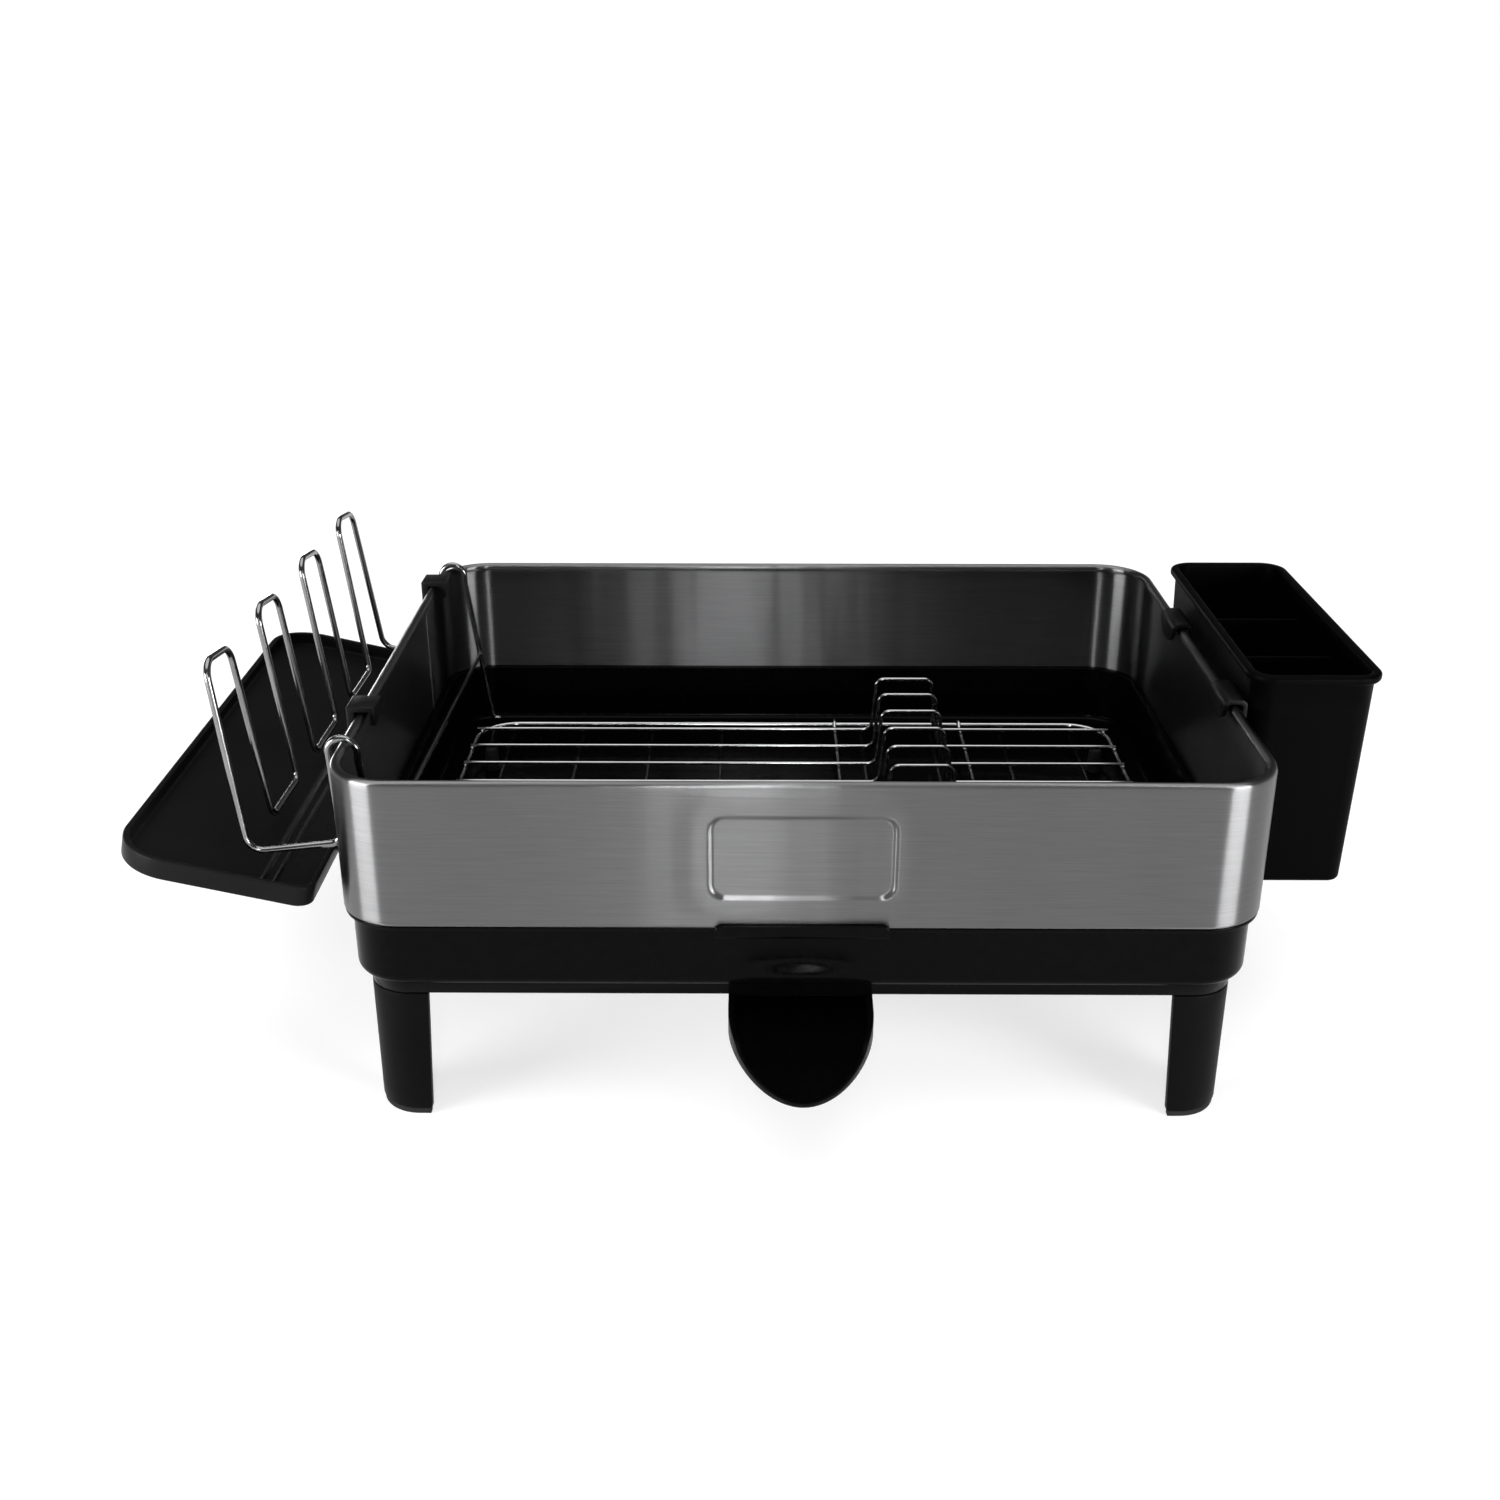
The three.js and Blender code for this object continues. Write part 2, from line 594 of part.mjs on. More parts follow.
// Plan of the side tray in its own plane: the inner edge on x = 0 and the outer edge at -span.
function sideTrayOutline(inset) {
  const { back, front, span } = SIDE_TRAY;
  const outer = SIDE_TRAY_CORNERS.outer - inset;
  const inner = SIDE_TRAY_CORNERS.inner - inset;
  const right = -inset;
  const left = -span + inset;
  const high = back - inset;
  const low = front + inset;
  const shape = new THREE.Shape();
  shape.absarc(right - inner, high - inner, inner, 0, Math.PI / 2);
  shape.absarc(left + outer, high - outer, outer, Math.PI / 2, Math.PI);
  shape.absarc(left + outer, low + outer, outer, Math.PI, 1.5 * Math.PI);
  shape.absarc(right - inner, low + inner, inner, 1.5 * Math.PI, 2 * Math.PI);
  shape.closePath();
  return shape;
}

function sideTray() {
  const { back, front, height, wall, floor } = SIDE_TRAY;
  const pan = cut(
    rounded(sideTrayOutline(0), 0, height, 1),
    upright(sideTrayOutline(wall), floor, height + PAST),
  );
  const strip = (inner, outer, bottom, top) => {
    return upright(rectangle(-outer, front + wall, -inner, back - wall), bottom, top);
  };
  const { inner, outer, height: rise } = SIDE_TRAY_RIDGE;
  const ridge = strip(inner, outer, floor - PAST, floor + rise);
  const groove = strip(SIDE_TRAY_GROOVE.inner, inner, floor - SIDE_TRAY_GROOVE.depth, floor + PAST);
  const geometry = geometryOf(cut(join(pan, ridge), groove));
  return geometry.rotateY(SIDE_TRAY_TILT).translate(SIDE_TRAY_EDGE.x, 0, SIDE_TRAY_EDGE.z);
}

// A bracket over the frame's rim, with a long outer arm that carries the side tray.
function sideTrayClip(y) {
  const { width, clearance, arm, cap, chamfer, shoulder, lipClearance, lip, lipBottom } = TRAY_CLIP;
  const { x: edgeX, z: edgeZ } = SIDE_TRAY_EDGE;
  const rimOuter = -FRAME_LENGTH / 2;
  const rimTop = FRAME_TOP + GAP;
  const armInner = rimOuter - clearance;
  const armOuter = armInner - arm;
  const top = rimTop + cap;
  const lipOuter = rimOuter + BEAD + lipClearance;
  const lipInner = lipOuter + lip;
  const footTop = edgeZ + SIDE_TRAY.height * Math.cos(SIDE_TRAY_TILT);
  const seatTop = edgeX + SIDE_TRAY.height * Math.sin(SIDE_TRAY_TILT) + GAP;
  const profile = polygon(
    [lipInner, lipBottom], [lipInner, top], [armOuter + chamfer, top], [armOuter, top - chamfer],
    [armOuter, footTop + shoulder], [seatTop, footTop], [edgeX + GAP, edgeZ],
    [armInner, edgeZ], [armInner, rimTop], [lipOuter, rimTop], [lipOuter, lipBottom],
  );
  return alongY(profile, y - width / 2, y + width / 2);
}

// ---- utensil holder -----------------------------------------------------------------------------

// How far a side of the holder has drawn in at a level.
function holderDraw(z) {
  return (HOLDER_TAPER * (HOLDER.top - z)) / (HOLDER.top - HOLDER.bottom);
}

// An upright outline centred on the holder, drawn in towards the bottom.
function tapered(length, width, radius, bottom, top) {
  const geometry = extrusion(roundedRect(width, length, radius), top - bottom).translate(0, 0, bottom);
  const position = geometry.attributes.position;
  for (let i = 0; i < position.count; i += 1) {
    const draw = 2 * holderDraw(position.getZ(i));
    const x = position.getX(i) * (1 - draw / width);
    const y = position.getY(i) * (1 - draw / length);
    position.setXY(i, x, y);
  }
  return solid(geometry.translate(HOLDER.x, HOLDER.y, 0));
}

function utensilHolder() {
  const { x, y, length, width, top, bottom, corner } = HOLDER;
  const { overhang, height, edge } = HOLDER_RIM;
  const rimShape = roundedRect(width + 2 * overhang, length + 2 * overhang, corner + overhang, x, y);
  const rim = rounded(rimShape, top - height, top, edge);
  const outside = join(tapered(length, width, corner, bottom, top), rim);
  const wall = HOLDER_WALL;
  const inside = tapered(length - 2 * wall, width - 2 * wall, corner - wall, bottom + wall, top + PAST);
  return cut(outside, inside, ...drainSlots());
}

// Slots through the floor of each compartment.
function drainSlots() {
  const slots = [];
  const edges = [HOLDER.y - HOLDER.length / 2, ...HOLDER_DIVIDER_Y, HOLDER.y + HOLDER.length / 2];
  const { length, width, pitch, perCompartment } = HOLDER_SLOT;
  for (let i = 0; i + 1 < edges.length; i += 1) {
    const middle = (edges[i] + edges[i + 1]) / 2;
    for (let k = 0; k < perCompartment; k += 1) {
      const y = middle + (k - (perCompartment - 1) / 2) * pitch;
      const slot = rectangle(HOLDER.x - length / 2, y - width / 2, HOLDER.x + length / 2, y + width / 2);
      slots.push(upright(slot, HOLDER.bottom - PAST, HOLDER.bottom + HOLDER_WALL + PAST));
    }
  }
  return slots;
}

// A partition that stands between two compartments.
function utensilDivider(y) {
  const bottom = HOLDER.bottom + HOLDER_WALL + GAP;
  const half = (z) => HOLDER.width / 2 - HOLDER_WALL - GAP - holderDraw(z);
  const { thickness, top } = DIVIDER_PLATE;
  const shape = polygon(
    [HOLDER.x - half(bottom), bottom], [HOLDER.x + half(bottom), bottom],
    [HOLDER.x + half(top), top], [HOLDER.x - half(top), top],
  );
  return alongY(shape, y - thickness / 2, y + thickness / 2);
}

// A hook over the frame's rim: round-ended lip inside, bridge, and web on the holder's wall.
function utensilHook(y) {
  const { width, lipX, lipBottom, lipRound: radius, thickness, webBottom } = HOLDER_HOOK;
  const half = width / 2;
  const wallX = HOLDER.x - HOLDER.width / 2 - GAP;
  const bridgeBottom = FRAME_TOP + GAP;
  const bridgeTop = bridgeBottom + thickness;
  const lipShape = new THREE.Shape();
  lipShape.moveTo(y - half, bridgeTop);
  lipShape.absarc(y - half + radius, lipBottom + radius, radius, Math.PI, 1.5 * Math.PI);
  lipShape.absarc(y + half - radius, lipBottom + radius, radius, 1.5 * Math.PI, 2 * Math.PI);
  lipShape.lineTo(y + half, bridgeTop);
  lipShape.closePath();
  const lip = alongX(lipShape, lipX, lipX + thickness);
  const bridge = alongY(rectangle(lipX, bridgeBottom, wallX, bridgeTop), y - half, y + half);
  const web = alongY(rectangle(wallX - thickness, webBottom, wallX, bridgeTop), y - half, y + half);
  return join(lip, bridge, web);
}

// ---- assembly -----------------------------------------------------------------------------------

const rack = new THREE.Group();

function place(name, shape, look, position = [0, 0, 0], turn = 0) {
  const geometry = shape.isBufferGeometry ? shape : geometryOf(shape);
  const mesh = new THREE.Mesh(geometry, new THREE.MeshStandardMaterial(materials[look]));
  mesh.name = name;
  mesh.position.set(...position);
  mesh.rotation.z = turn;
  rack.add(mesh);
}

place('drip_tray', dripTray(), 'glossPlastic');
place('steel_frame', steelFrame(), 'steel');
place('spout', spout(), 'blackPlastic');
place('spout_clip_ring', spoutClipRing(), 'blackPlastic');

// each leg is the same moulding, turned to its corner
const cornerX = FRAME_LENGTH / 2 - SKIRT_INSET;
const cornerY = FRAME_WIDTH / 2 - SKIRT_INSET;
const corners = [
  ['back_right', cornerX, cornerY, 0],
  ['back_left', -cornerX, cornerY, Math.PI / 2],
  ['front_left', -cornerX, -cornerY, Math.PI],
  ['front_right', cornerX, -cornerY, -Math.PI / 2],
];
for (const [where, x, y, turn] of corners) {
  place(`leg_${where}`, leg(), 'blackPlastic', [x, y, 0], turn);
  place(`leg_pad_${where}`, legPad(), 'rubber', [x, y, 0], turn);
}

place('rack_perimeter', rackPerimeter(), 'chrome');
for (let i = -DIVIDERS_PER_SIDE; i <= DIVIDERS_PER_SIDE; i += 1) {
  place(`rack_divider_${i + DIVIDERS_PER_SIDE + 1}`, rackDivider(i * DIVIDER_PITCH), 'chrome');
}
CROSS_WIRE_X.forEach((x, i) => place(`rack_cross_wire_${i + 1}`, rackCrossWire(x), 'chrome'));
for (const [where, x, y] of corners) {
  const foot = [Math.sign(x) * RACK_FOOT.x, Math.sign(y) * RACK_FOOT.y, 0];
  place(`rack_foot_${where}`, rackFoot(), 'rubber', foot);
}

const placeCupWire = (name, shape) => {
  place(name, shape, 'chrome', [CUP_HOLDER.x, CUP_HOLDER.y, 0], CUP_HOLDER.turn);
};
placeCupWire('cup_hook_1', cupHook(-1));
placeCupWire('cup_hook_2', cupHook(1));
for (let i = 0; i < TINE.count; i += 1) {
  placeCupWire(`cup_tine_${i + 1}`, cupTine(i));
}
placeCupWire('cup_bar', cupBar());

place('side_tray', sideTray(), 'mattPlastic');
TRAY_CLIP_Y.forEach((y, i) => place(`side_tray_clip_${i + 1}`, sideTrayClip(y), 'mattPlastic'));

place('utensil_holder', utensilHolder(), 'mattPlastic');
HOLDER_DIVIDER_Y.forEach((y, i) => place(`utensil_divider_${i + 1}`, utensilDivider(y), 'mattPlastic'));
HOLDER_HOOK_Y.forEach((y, i) => place(`utensil_hook_${i + 1}`, utensilHook(y), 'mattPlastic'));

// centre the footprint on the origin, with the pads on z = 0
const middle = new THREE.Box3().setFromObject(rack).getCenter(new THREE.Vector3());
rack.position.set(-middle.x, -middle.y, 0);

export default rack;
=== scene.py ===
"""Looks of a countertop dish drying rack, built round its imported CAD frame.

Metres, +Z up, front towards -Y. Every new piece is drawn around the middle of the steel frame at
counter level, and its object stands there.
"""

import math

import bmesh
import bpy
from mathutils import Matrix, Vector


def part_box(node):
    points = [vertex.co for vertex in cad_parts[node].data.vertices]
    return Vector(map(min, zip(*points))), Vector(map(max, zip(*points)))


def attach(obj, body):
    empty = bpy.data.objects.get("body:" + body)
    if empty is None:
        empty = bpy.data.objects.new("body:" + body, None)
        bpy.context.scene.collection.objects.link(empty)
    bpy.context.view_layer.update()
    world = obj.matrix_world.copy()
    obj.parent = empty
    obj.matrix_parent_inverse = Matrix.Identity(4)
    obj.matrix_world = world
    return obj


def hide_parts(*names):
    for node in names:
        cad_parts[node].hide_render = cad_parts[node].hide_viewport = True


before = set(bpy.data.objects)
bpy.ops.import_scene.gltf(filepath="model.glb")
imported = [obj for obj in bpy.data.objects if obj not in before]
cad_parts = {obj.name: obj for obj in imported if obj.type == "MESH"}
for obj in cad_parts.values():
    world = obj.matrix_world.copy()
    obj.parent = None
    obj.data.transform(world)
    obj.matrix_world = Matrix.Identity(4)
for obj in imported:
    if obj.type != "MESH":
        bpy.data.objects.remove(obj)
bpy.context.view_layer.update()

MM = 0.001
SHARP = 40  # edges bent by more degrees than this stay sharp


def mm(**sizes):
    """Named lengths, given in millimetres and kept in metres."""
    return {name: size * MM for name, size in sizes.items()}


ROUND_END = 0.98  # a bar's end radius per half width: just under 1, so that no two points meet
RIB_END = 0.99
CORNER_STEPS = 28


def middle_of(node):
    low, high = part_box(node)
    return (low + high) / 2


CENTRE = Vector((middle_of("steel_frame").x, middle_of("steel_frame").y, 0))


def local_box(node):
    """The box of a CAD node, around the middle of the steel frame."""
    low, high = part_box(node)
    return low - CENTRE, high - CENTRE


# ---- meshes ----


def new_object(name, data):
    made = bpy.data.objects.new(name, data)
    bpy.context.scene.collection.objects.link(made)
    return made


def piece_from(bm, name, body, slot, replaces=(), sharp=SHARP, material=None):
    """Turns a bmesh into a piece that rides on a body. Its material is the slot's, or one of its own."""
    bmesh.ops.remove_doubles(bm, verts=bm.verts, dist=1e-6)
    bmesh.ops.recalc_face_normals(bm, faces=bm.faces)
    mesh = bpy.data.meshes.new(name)
    bm.to_mesh(mesh)
    bm.free()
    mesh.shade_smooth()
    mesh.set_sharp_from_angle(angle=math.radians(sharp))
    piece = new_object(name, mesh)
    piece.location = CENTRE
    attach(piece, body)
    if replaces:
        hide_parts(*replaces)
    mesh.materials.append(MATERIALS[material or slot])
    return piece


def softened(piece, width, segments=3, angle=35):
    """Rounds a piece's edges, for good."""
    bevel = piece.modifiers.new("bevel", "BEVEL")
    bevel.width = width
    bevel.segments = segments
    bevel.limit_method = "ANGLE"
    bevel.angle_limit = math.radians(angle)
    bevel.harden_normals = False
    applied(piece)


def applied(piece):
    """Replaces a piece's mesh by what its modifiers make of it."""
    evaluated = piece.evaluated_get(bpy.context.evaluated_depsgraph_get())
    mesh = bpy.data.meshes.new_from_object(evaluated)
    piece.modifiers.clear()
    old = piece.data
    piece.data = mesh
    mesh.name = old.name
    bpy.data.meshes.remove(old)
    mesh.shade_smooth()
    mesh.set_sharp_from_angle(angle=math.radians(SHARP))


def outline(half_x, half_y, radii, steps, front_x=()):
    """Stations (x, y, nx, ny) round a rectangle with round corners, anticlockwise from the right.

    radii holds the corners' radii: back right, back left, front left, front right. front_x adds
    stations along the front edge.
    """
    signs = [(1, 1), (-1, 1), (-1, -1), (1, -1)]
    stations = []
    for i, ((sx, sy), radius) in enumerate(zip(signs, radii)):
        cx = sx * (half_x - radius)
        cy = sy * (half_y - radius)
        for k in range(steps + 1):
            angle = (i + k / steps) * math.pi / 2
            nx, ny = math.cos(angle), math.sin(angle)
            stations.append((cx + radius * nx, cy + radius * ny, nx, ny))
        if i == 2:
            stations.extend((x, -half_y, 0, -1) for x in front_x)
    return stations


def stations_along(points):
    """Stations for a closed plan line given as points in order, anticlockwise."""
    stations = []
    for i, (x, y) in enumerate(points):
        before = Vector(points[i - 1])
        after = Vector(points[(i + 1) % len(points)])
        along = (after - before).normalized()
        stations.append((x, y, along.y, -along.x))
    return stations


def inset_place(station, inset, level):
    x, y, nx, ny = station
    return Vector((x - nx * inset, y - ny * inset, level))


def sweep(bm, stations, profile, place=inset_place, closed=False):
    """Runs a profile of (inset, level) points round the stations, and returns its two end loops."""
    grid = [[bm.verts.new(place(s, *point)) for point in profile] for s in stations]
    count = len(profile)
    runs = count if closed else count - 1
    for i, column in enumerate(grid):
        following = grid[(i + 1) % len(grid)]
        for j in range(runs):
            k = (j + 1) % count
            bm.faces.new((column[j], following[j], following[k], column[k]))
    return [column[0] for column in grid], [column[-1] for column in grid]


def join(bm, near, far):
    """A ring of faces between two loops of vertices."""
    for k in range(len(near)):
        bm.faces.new((near[k - 1], near[k], far[k], far[k - 1]))


def skin(bm, rings, closed=False):
    """Joins each loop to the next, and closes the two ends unless the loops run in a circle."""
    for near, far in zip(rings, rings[1:] + rings[:1] if closed else rings[1:]):
        join(bm, near, far)
    if not closed:
        bm.faces.new(rings[0])
        bm.faces.new(rings[-1])


def loop_edges(bm, loop):
    return [bm.edges.get((a, b)) or bm.edges.new((a, b)) for a, b in zip(loop, loop[1:] + loop[:1])]


def fill(bm, edges):
    bmesh.ops.triangle_fill(bm, use_beauty=True, use_dissolve=False, edges=edges)


def fill_floor(bm, under, over, holes):
    """Closes a swept tray with a floor between its two loops, pierced by holes given as plan lines."""
    low, high = under[0].co.z, over[0].co.z
    for loop, level in ((under, low), (over, high)):
        edges = loop_edges(bm, loop)
        for hole in holes:
            edges += loop_edges(bm, [bm.verts.new((x, y, level)) for x, y in hole])
        fill(bm, edges)
    bmesh.ops.remove_doubles(bm, verts=bm.verts, dist=1e-7)
    for hole in holes:
        lower = [nearest_vertex(bm, x, y, low) for x, y in hole]
        upper = [nearest_vertex(bm, x, y, high) for x, y in hole]
        join(bm, lower, upper)


def nearest_vertex(bm, x, y, z):
    target = Vector((x, y, z))
    return min(bm.verts, key=lambda v: (v.co - target).length_squared)


def arc(cx, cz, radius, start, end, steps):
    """Profile points on an arc, angles in degrees in the (inset, level) plane."""
    angles = [math.radians(start + (end - start) * k / steps) for k in range(steps + 1)]
    return [(cx + radius * math.cos(a), cz + radius * math.sin(a)) for a in angles]


def slab(name, outline_points, start, depth, axes, body, slot, edge, replaces=()):
    """A flat outline pushed along the third axis, with rounded edges.

    axes names the outline's two axes and the one it is pushed along, such as "xzy".
    """
    order = ["xyz".index(a) for a in axes]
    bm = bmesh.new()
    rings = []
    for offset in (start, start + depth):
        ring = []
        for u, v in outline_points:
            co = [0, 0, 0]
            co[order[0]], co[order[1]], co[order[2]] = u, v, offset
            ring.append(bm.verts.new(co))
        rings.append(ring)
    near, far = rings
    bm.faces.new(near)
    bm.faces.new(far)
    join(bm, near, far)
    softened(piece_from(bm, name, body, slot, replaces), edge)


# ---- wires ----


def bent_path(corners, radius):
    """Points and directions along a rod bent at the corners. A corner may carry its own radius."""
    points = [Vector(c[:3]) for c in corners]
    path = [(points[0], (points[1] - points[0]).normalized())]
    for i in range(1, len(points) - 1):
        into = (points[i] - points[i - 1]).normalized()
        out = (points[i + 1] - points[i]).normalized()
        turn = into.angle(out)
        bend_radius = corners[i][3] if len(corners[i]) > 3 else radius
        start = points[i] - into * bend_radius * math.tan(turn / 2)
        side = (out - into * out.dot(into)).normalized()
        centre = start + side * bend_radius
        steps = max(2, math.ceil(turn / math.radians(7)))
        for k in range(steps + 1):
            angle = turn * k / steps
            point = centre - side * bend_radius * math.cos(angle) + into * bend_radius * math.sin(angle)
            path.append((point, into * math.cos(angle) + side * math.sin(angle)))
    path.append((points[-1], (points[-1] - points[-2]).normalized()))
    return path


def add_tube(bm, path, diameter, sides=20, closed=False):
    """A round tube along a path, with domed ends unless it is closed."""
    radius = diameter / 2
    up = Vector((0, 0, 1)) if abs(path[0][1].z) < 0.9 else Vector((0, 1, 0))
    normal = up.cross(path[0][1]).normalized()
    rings = []

    def ring(centre, tangent, scale):
        across = tangent.cross(normal)
        angles = [2 * math.pi * k / sides for k in range(sides)]
        rings.append([
            bm.verts.new(centre + (normal * math.cos(a) + across * math.sin(a)) * radius * scale)
            for a in angles
        ])

    dome = [(0.35, 0.94), (0.7, 0.71), (0.93, 0.37)]
    if not closed:
        point, tangent = path[0]
        for along, scale in reversed(dome):
            ring(point + tangent * radius * (1 - along), tangent, scale)
    for i, (point, tangent) in enumerate(path):
        normal = (normal - tangent * normal.dot(tangent)).normalized()
        first, last = not closed and i == 0, not closed and i == len(path) - 1
        shift = radius if first else -radius if last else 0
        ring(point + tangent * shift, tangent, 1)
    if not closed:
        point, tangent = path[-1]
        for along, scale in dome:
            ring(point - tangent * radius * (1 - along), tangent, scale)
    skin(bm, rings, closed)


def wire_piece(name, corners, radius, diameter, body, slot, replaces):
    bm = bmesh.new()
    add_tube(bm, bent_path(corners, radius), diameter)
    return piece_from(bm, name, body, slot, replaces, sharp=60)


def add_weld(bm, centre, along, across, size, length):
    """A small blob of weld metal where two wires cross: a ball drawn out along one of them."""
    third = along.cross(across).normalized()
    turn = Matrix((along, across, third)).transposed().to_4x4()
    stretch = Matrix.Diagonal((length, size, size * 0.8, 1))
    matrix = Matrix.Translation(centre) @ turn @ stretch
    bmesh.ops.create_icosphere(bm, subdivisions=3, radius=1, matrix=matrix)


# ---- materials ----


class Look:
    """A principled material whose colour, roughness and bump are built up from noise."""

    SWING = 0.15  # how far noise mostly strays from its middle

    def __init__(self, name, colour, roughness, metallic=0, specular=0.5, anisotropic=0):
        self.material = bpy.data.materials.new(name)
        self.material.use_nodes = True
        self.nodes = self.material.node_tree.nodes
        self.links = self.material.node_tree.links
        self.shader = self.nodes["Principled BSDF"]
        self.colour = colour
        self.roughness = roughness
        self.set("Metallic", metallic)
        self.set("Specular IOR Level", specular)
        self.set("Anisotropic", anisotropic)
        self.set("Base Color", (*colour, 1))
        self.set("Roughness", roughness)
        self.place = self.nodes.new("ShaderNodeTexCoord").outputs["Object"]
        self.last_bump = None

    def set(self, socket, value):
        self.shader.inputs[socket].default_value = value

    def noise(self, scale, detail, stretch=(1, 1, 1), roughness=0.5):
        mapping = self.nodes.new("ShaderNodeMapping")
        mapping.inputs["Scale"].default_value = stretch
        self.links.new(self.place, mapping.inputs["Vector"])
        texture = self.nodes.new("ShaderNodeTexNoise")
        texture.inputs["Scale"].default_value = scale
        texture.inputs["Detail"].default_value = detail
        texture.inputs["Roughness"].default_value = roughness
        self.links.new(mapping.outputs["Vector"], texture.inputs["Vector"])
        return texture.outputs["Fac"]

    def spread(self, value, low, high):
        """Maps a noise value around its middle onto low to high."""
        remap = self.nodes.new("ShaderNodeMapRange")
        remap.inputs["From Min"].default_value = 0.5 - self.SWING
        remap.inputs["From Max"].default_value = 0.5 + self.SWING
        remap.inputs["To Min"].default_value = low
        remap.inputs["To Max"].default_value = high
        self.links.new(value, remap.inputs["Value"])
        return remap.outputs["Result"]

    def sum(self, first, second):
        node = self.nodes.new("ShaderNodeMath")
        node.operation = "ADD"
        self.links.new(first, node.inputs[0])
        self.links.new(second, node.inputs[1])
        return node.outputs["Value"]

    def vary_colour(self, value, amount):
        """Makes the colour lighter and darker with a noise value."""
        ramp = self.nodes.new("ShaderNodeValToRGB")
        ramp.color_ramp.elements[0].position = 0.3
        ramp.color_ramp.elements[1].position = 0.7
        ramp.color_ramp.elements[0].color = (*[c * (1 - amount) for c in self.colour], 1)
        ramp.color_ramp.elements[1].color = (*[c * (1 + amount) for c in self.colour], 1)
        self.links.new(value, ramp.inputs["Fac"])
        self.links.new(ramp.outputs["Color"], self.shader.inputs["Base Color"])

    def vary_roughness(self, value):
        self.links.new(value, self.shader.inputs["Roughness"])

    def bump(self, value, depth, strength):
        node = self.nodes.new("ShaderNodeBump")
        node.inputs["Strength"].default_value = strength
        node.inputs["Distance"].default_value = depth
        self.links.new(value, node.inputs["Height"])
        if self.last_bump:
            self.links.new(self.last_bump, node.inputs["Normal"])
        self.last_bump = node.outputs["Normal"]
        self.links.new(self.last_bump, self.shader.inputs["Normal"])

    def brush_round_z(self):
        tangent = self.nodes.new("ShaderNodeTangent")
        tangent.direction_type = "RADIAL"
        tangent.axis = "Z"
        self.set("Anisotropic Rotation", 0.25)
        self.links.new(tangent.outputs["Tangent"], self.shader.inputs["Tangent"])


def brushed_steel():
    look = Look("brushed steel", (0.14, 0.14, 0.142), 0.315, metallic=1, anisotropic=1)
    fine = look.noise(2, detail=3, stretch=(14, 14, 2200), roughness=0.7)
    smudge = look.noise(13, detail=2, stretch=(1, 1, 0.25))
    ripple = look.noise(42, detail=2, stretch=(1, 1, 0.07))
    look.vary_colour(fine, 0.16)
    look.vary_roughness(look.sum(look.spread(fine, 0.28, 0.32), look.spread(smudge, 0, 0.04)))
    look.bump(smudge, 0.0012, 0.7)
    look.bump(ripple, 0.0003, 0.7)
    look.bump(fine, 0.00001, 0.3)
    look.brush_round_z()
    return look.material


def chrome(name, level):
    look = Look(name, (level, level, level * 1.01), 0.12, metallic=1)
    haze = look.noise(70, detail=5)
    fine = look.noise(900, detail=2)
    look.vary_colour(haze, 0.08)
    look.vary_roughness(look.sum(look.spread(haze, 0.1, 0.17), look.spread(fine, 0, 0.03)))
    look.bump(fine, 0.00001, 0.4)
    return look.material


def gloss_plastic(name, level, roughness, specular):
    look = Look(name, (level, level, level * 1.05), roughness, specular=specular)
    sink = look.noise(11, detail=2)
    dust = look.noise(260, detail=6)
    look.vary_colour(dust, 0.18)
    dusty = look.spread(dust, roughness - 0.05, roughness + 0.06)
    look.vary_roughness(look.sum(dusty, look.spread(sink, 0, 0.05)))
    look.bump(sink, 0.0012, 0.5)
    look.bump(dust, 0.000003, 0.3)
    return look.material


def matte_plastic(name, level, roughness, specular):
    look = Look(name, (level, level, level * 1.03), roughness, specular=specular)
    grain = look.noise(1900, detail=2)
    cloud = look.noise(14, detail=3)
    look.vary_colour(cloud, 0.14)
    grainy = look.spread(grain, roughness - 0.06, roughness + 0.06)
    look.vary_roughness(look.sum(grainy, look.spread(cloud, 0, 0.06)))
    look.bump(cloud, 0.0008, 0.2)
    look.bump(grain, 0.00006, 0.6)
    return look.material


def rubber():
    look = Look("rubber", (0.01, 0.01, 0.01), 0.8, specular=0.15)
    grain = look.noise(1200, detail=3)
    cloud = look.noise(60, detail=3)
    look.vary_colour(cloud, 0.25)
    look.vary_roughness(look.spread(grain, 0.7, 0.9))
    look.bump(grain, 0.00008, 0.7)
    return look.material


MATERIALS = {
    "frame_steel": brushed_steel(),
    "rack_chrome": chrome("rack chrome", 0.36),
    # the cup holder is the same chrome as the rack, set darker: painted shade standing in for the dark
    # surroundings its wires reflect
    "cup_holder_chrome": chrome("cup holder chrome darkened as painted shade", 0.2),
    "tray_black": gloss_plastic("tray plastic", 0.001, roughness=0.16, specular=0.04),
    "spout_black": gloss_plastic("spout plastic", 0.001, roughness=0.32, specular=0.05),
    "leg_black": matte_plastic("leg plastic", 0.0015, roughness=0.42, specular=0.04),
    "side_tray_black": matte_plastic("side tray plastic", 0.006, roughness=0.31, specular=0.045),
    "clip_black": matte_plastic("clip plastic", 0.003, roughness=0.4, specular=0.1),
    "holder_black": matte_plastic("holder plastic", 0.0006, roughness=0.42, specular=0.02),
    "pad_rubber": rubber(),
    "polished_ridge": gloss_plastic("polished ridge", 0.003, roughness=0.14, specular=1),
}


# ---- steel frame ----

FRAME_LOW, FRAME_HIGH = local_box("steel_frame")
FRAME_CORNER = 32 * MM
SHEET = 1.5 * MM
BEAD = 5 * MM
PANEL = mm(half_x=43.5, half_z=21, z=151.5, corner=7)
PRESS_DEPTH = 1.1 * MM
PRESS_EDGE = 1.7 * MM
SWELL = mm(height=0.25, from_edge=7, width=8)
SEAM = mm(y=96, width=12, lap=0.5, root=0.2, edge=0.25)


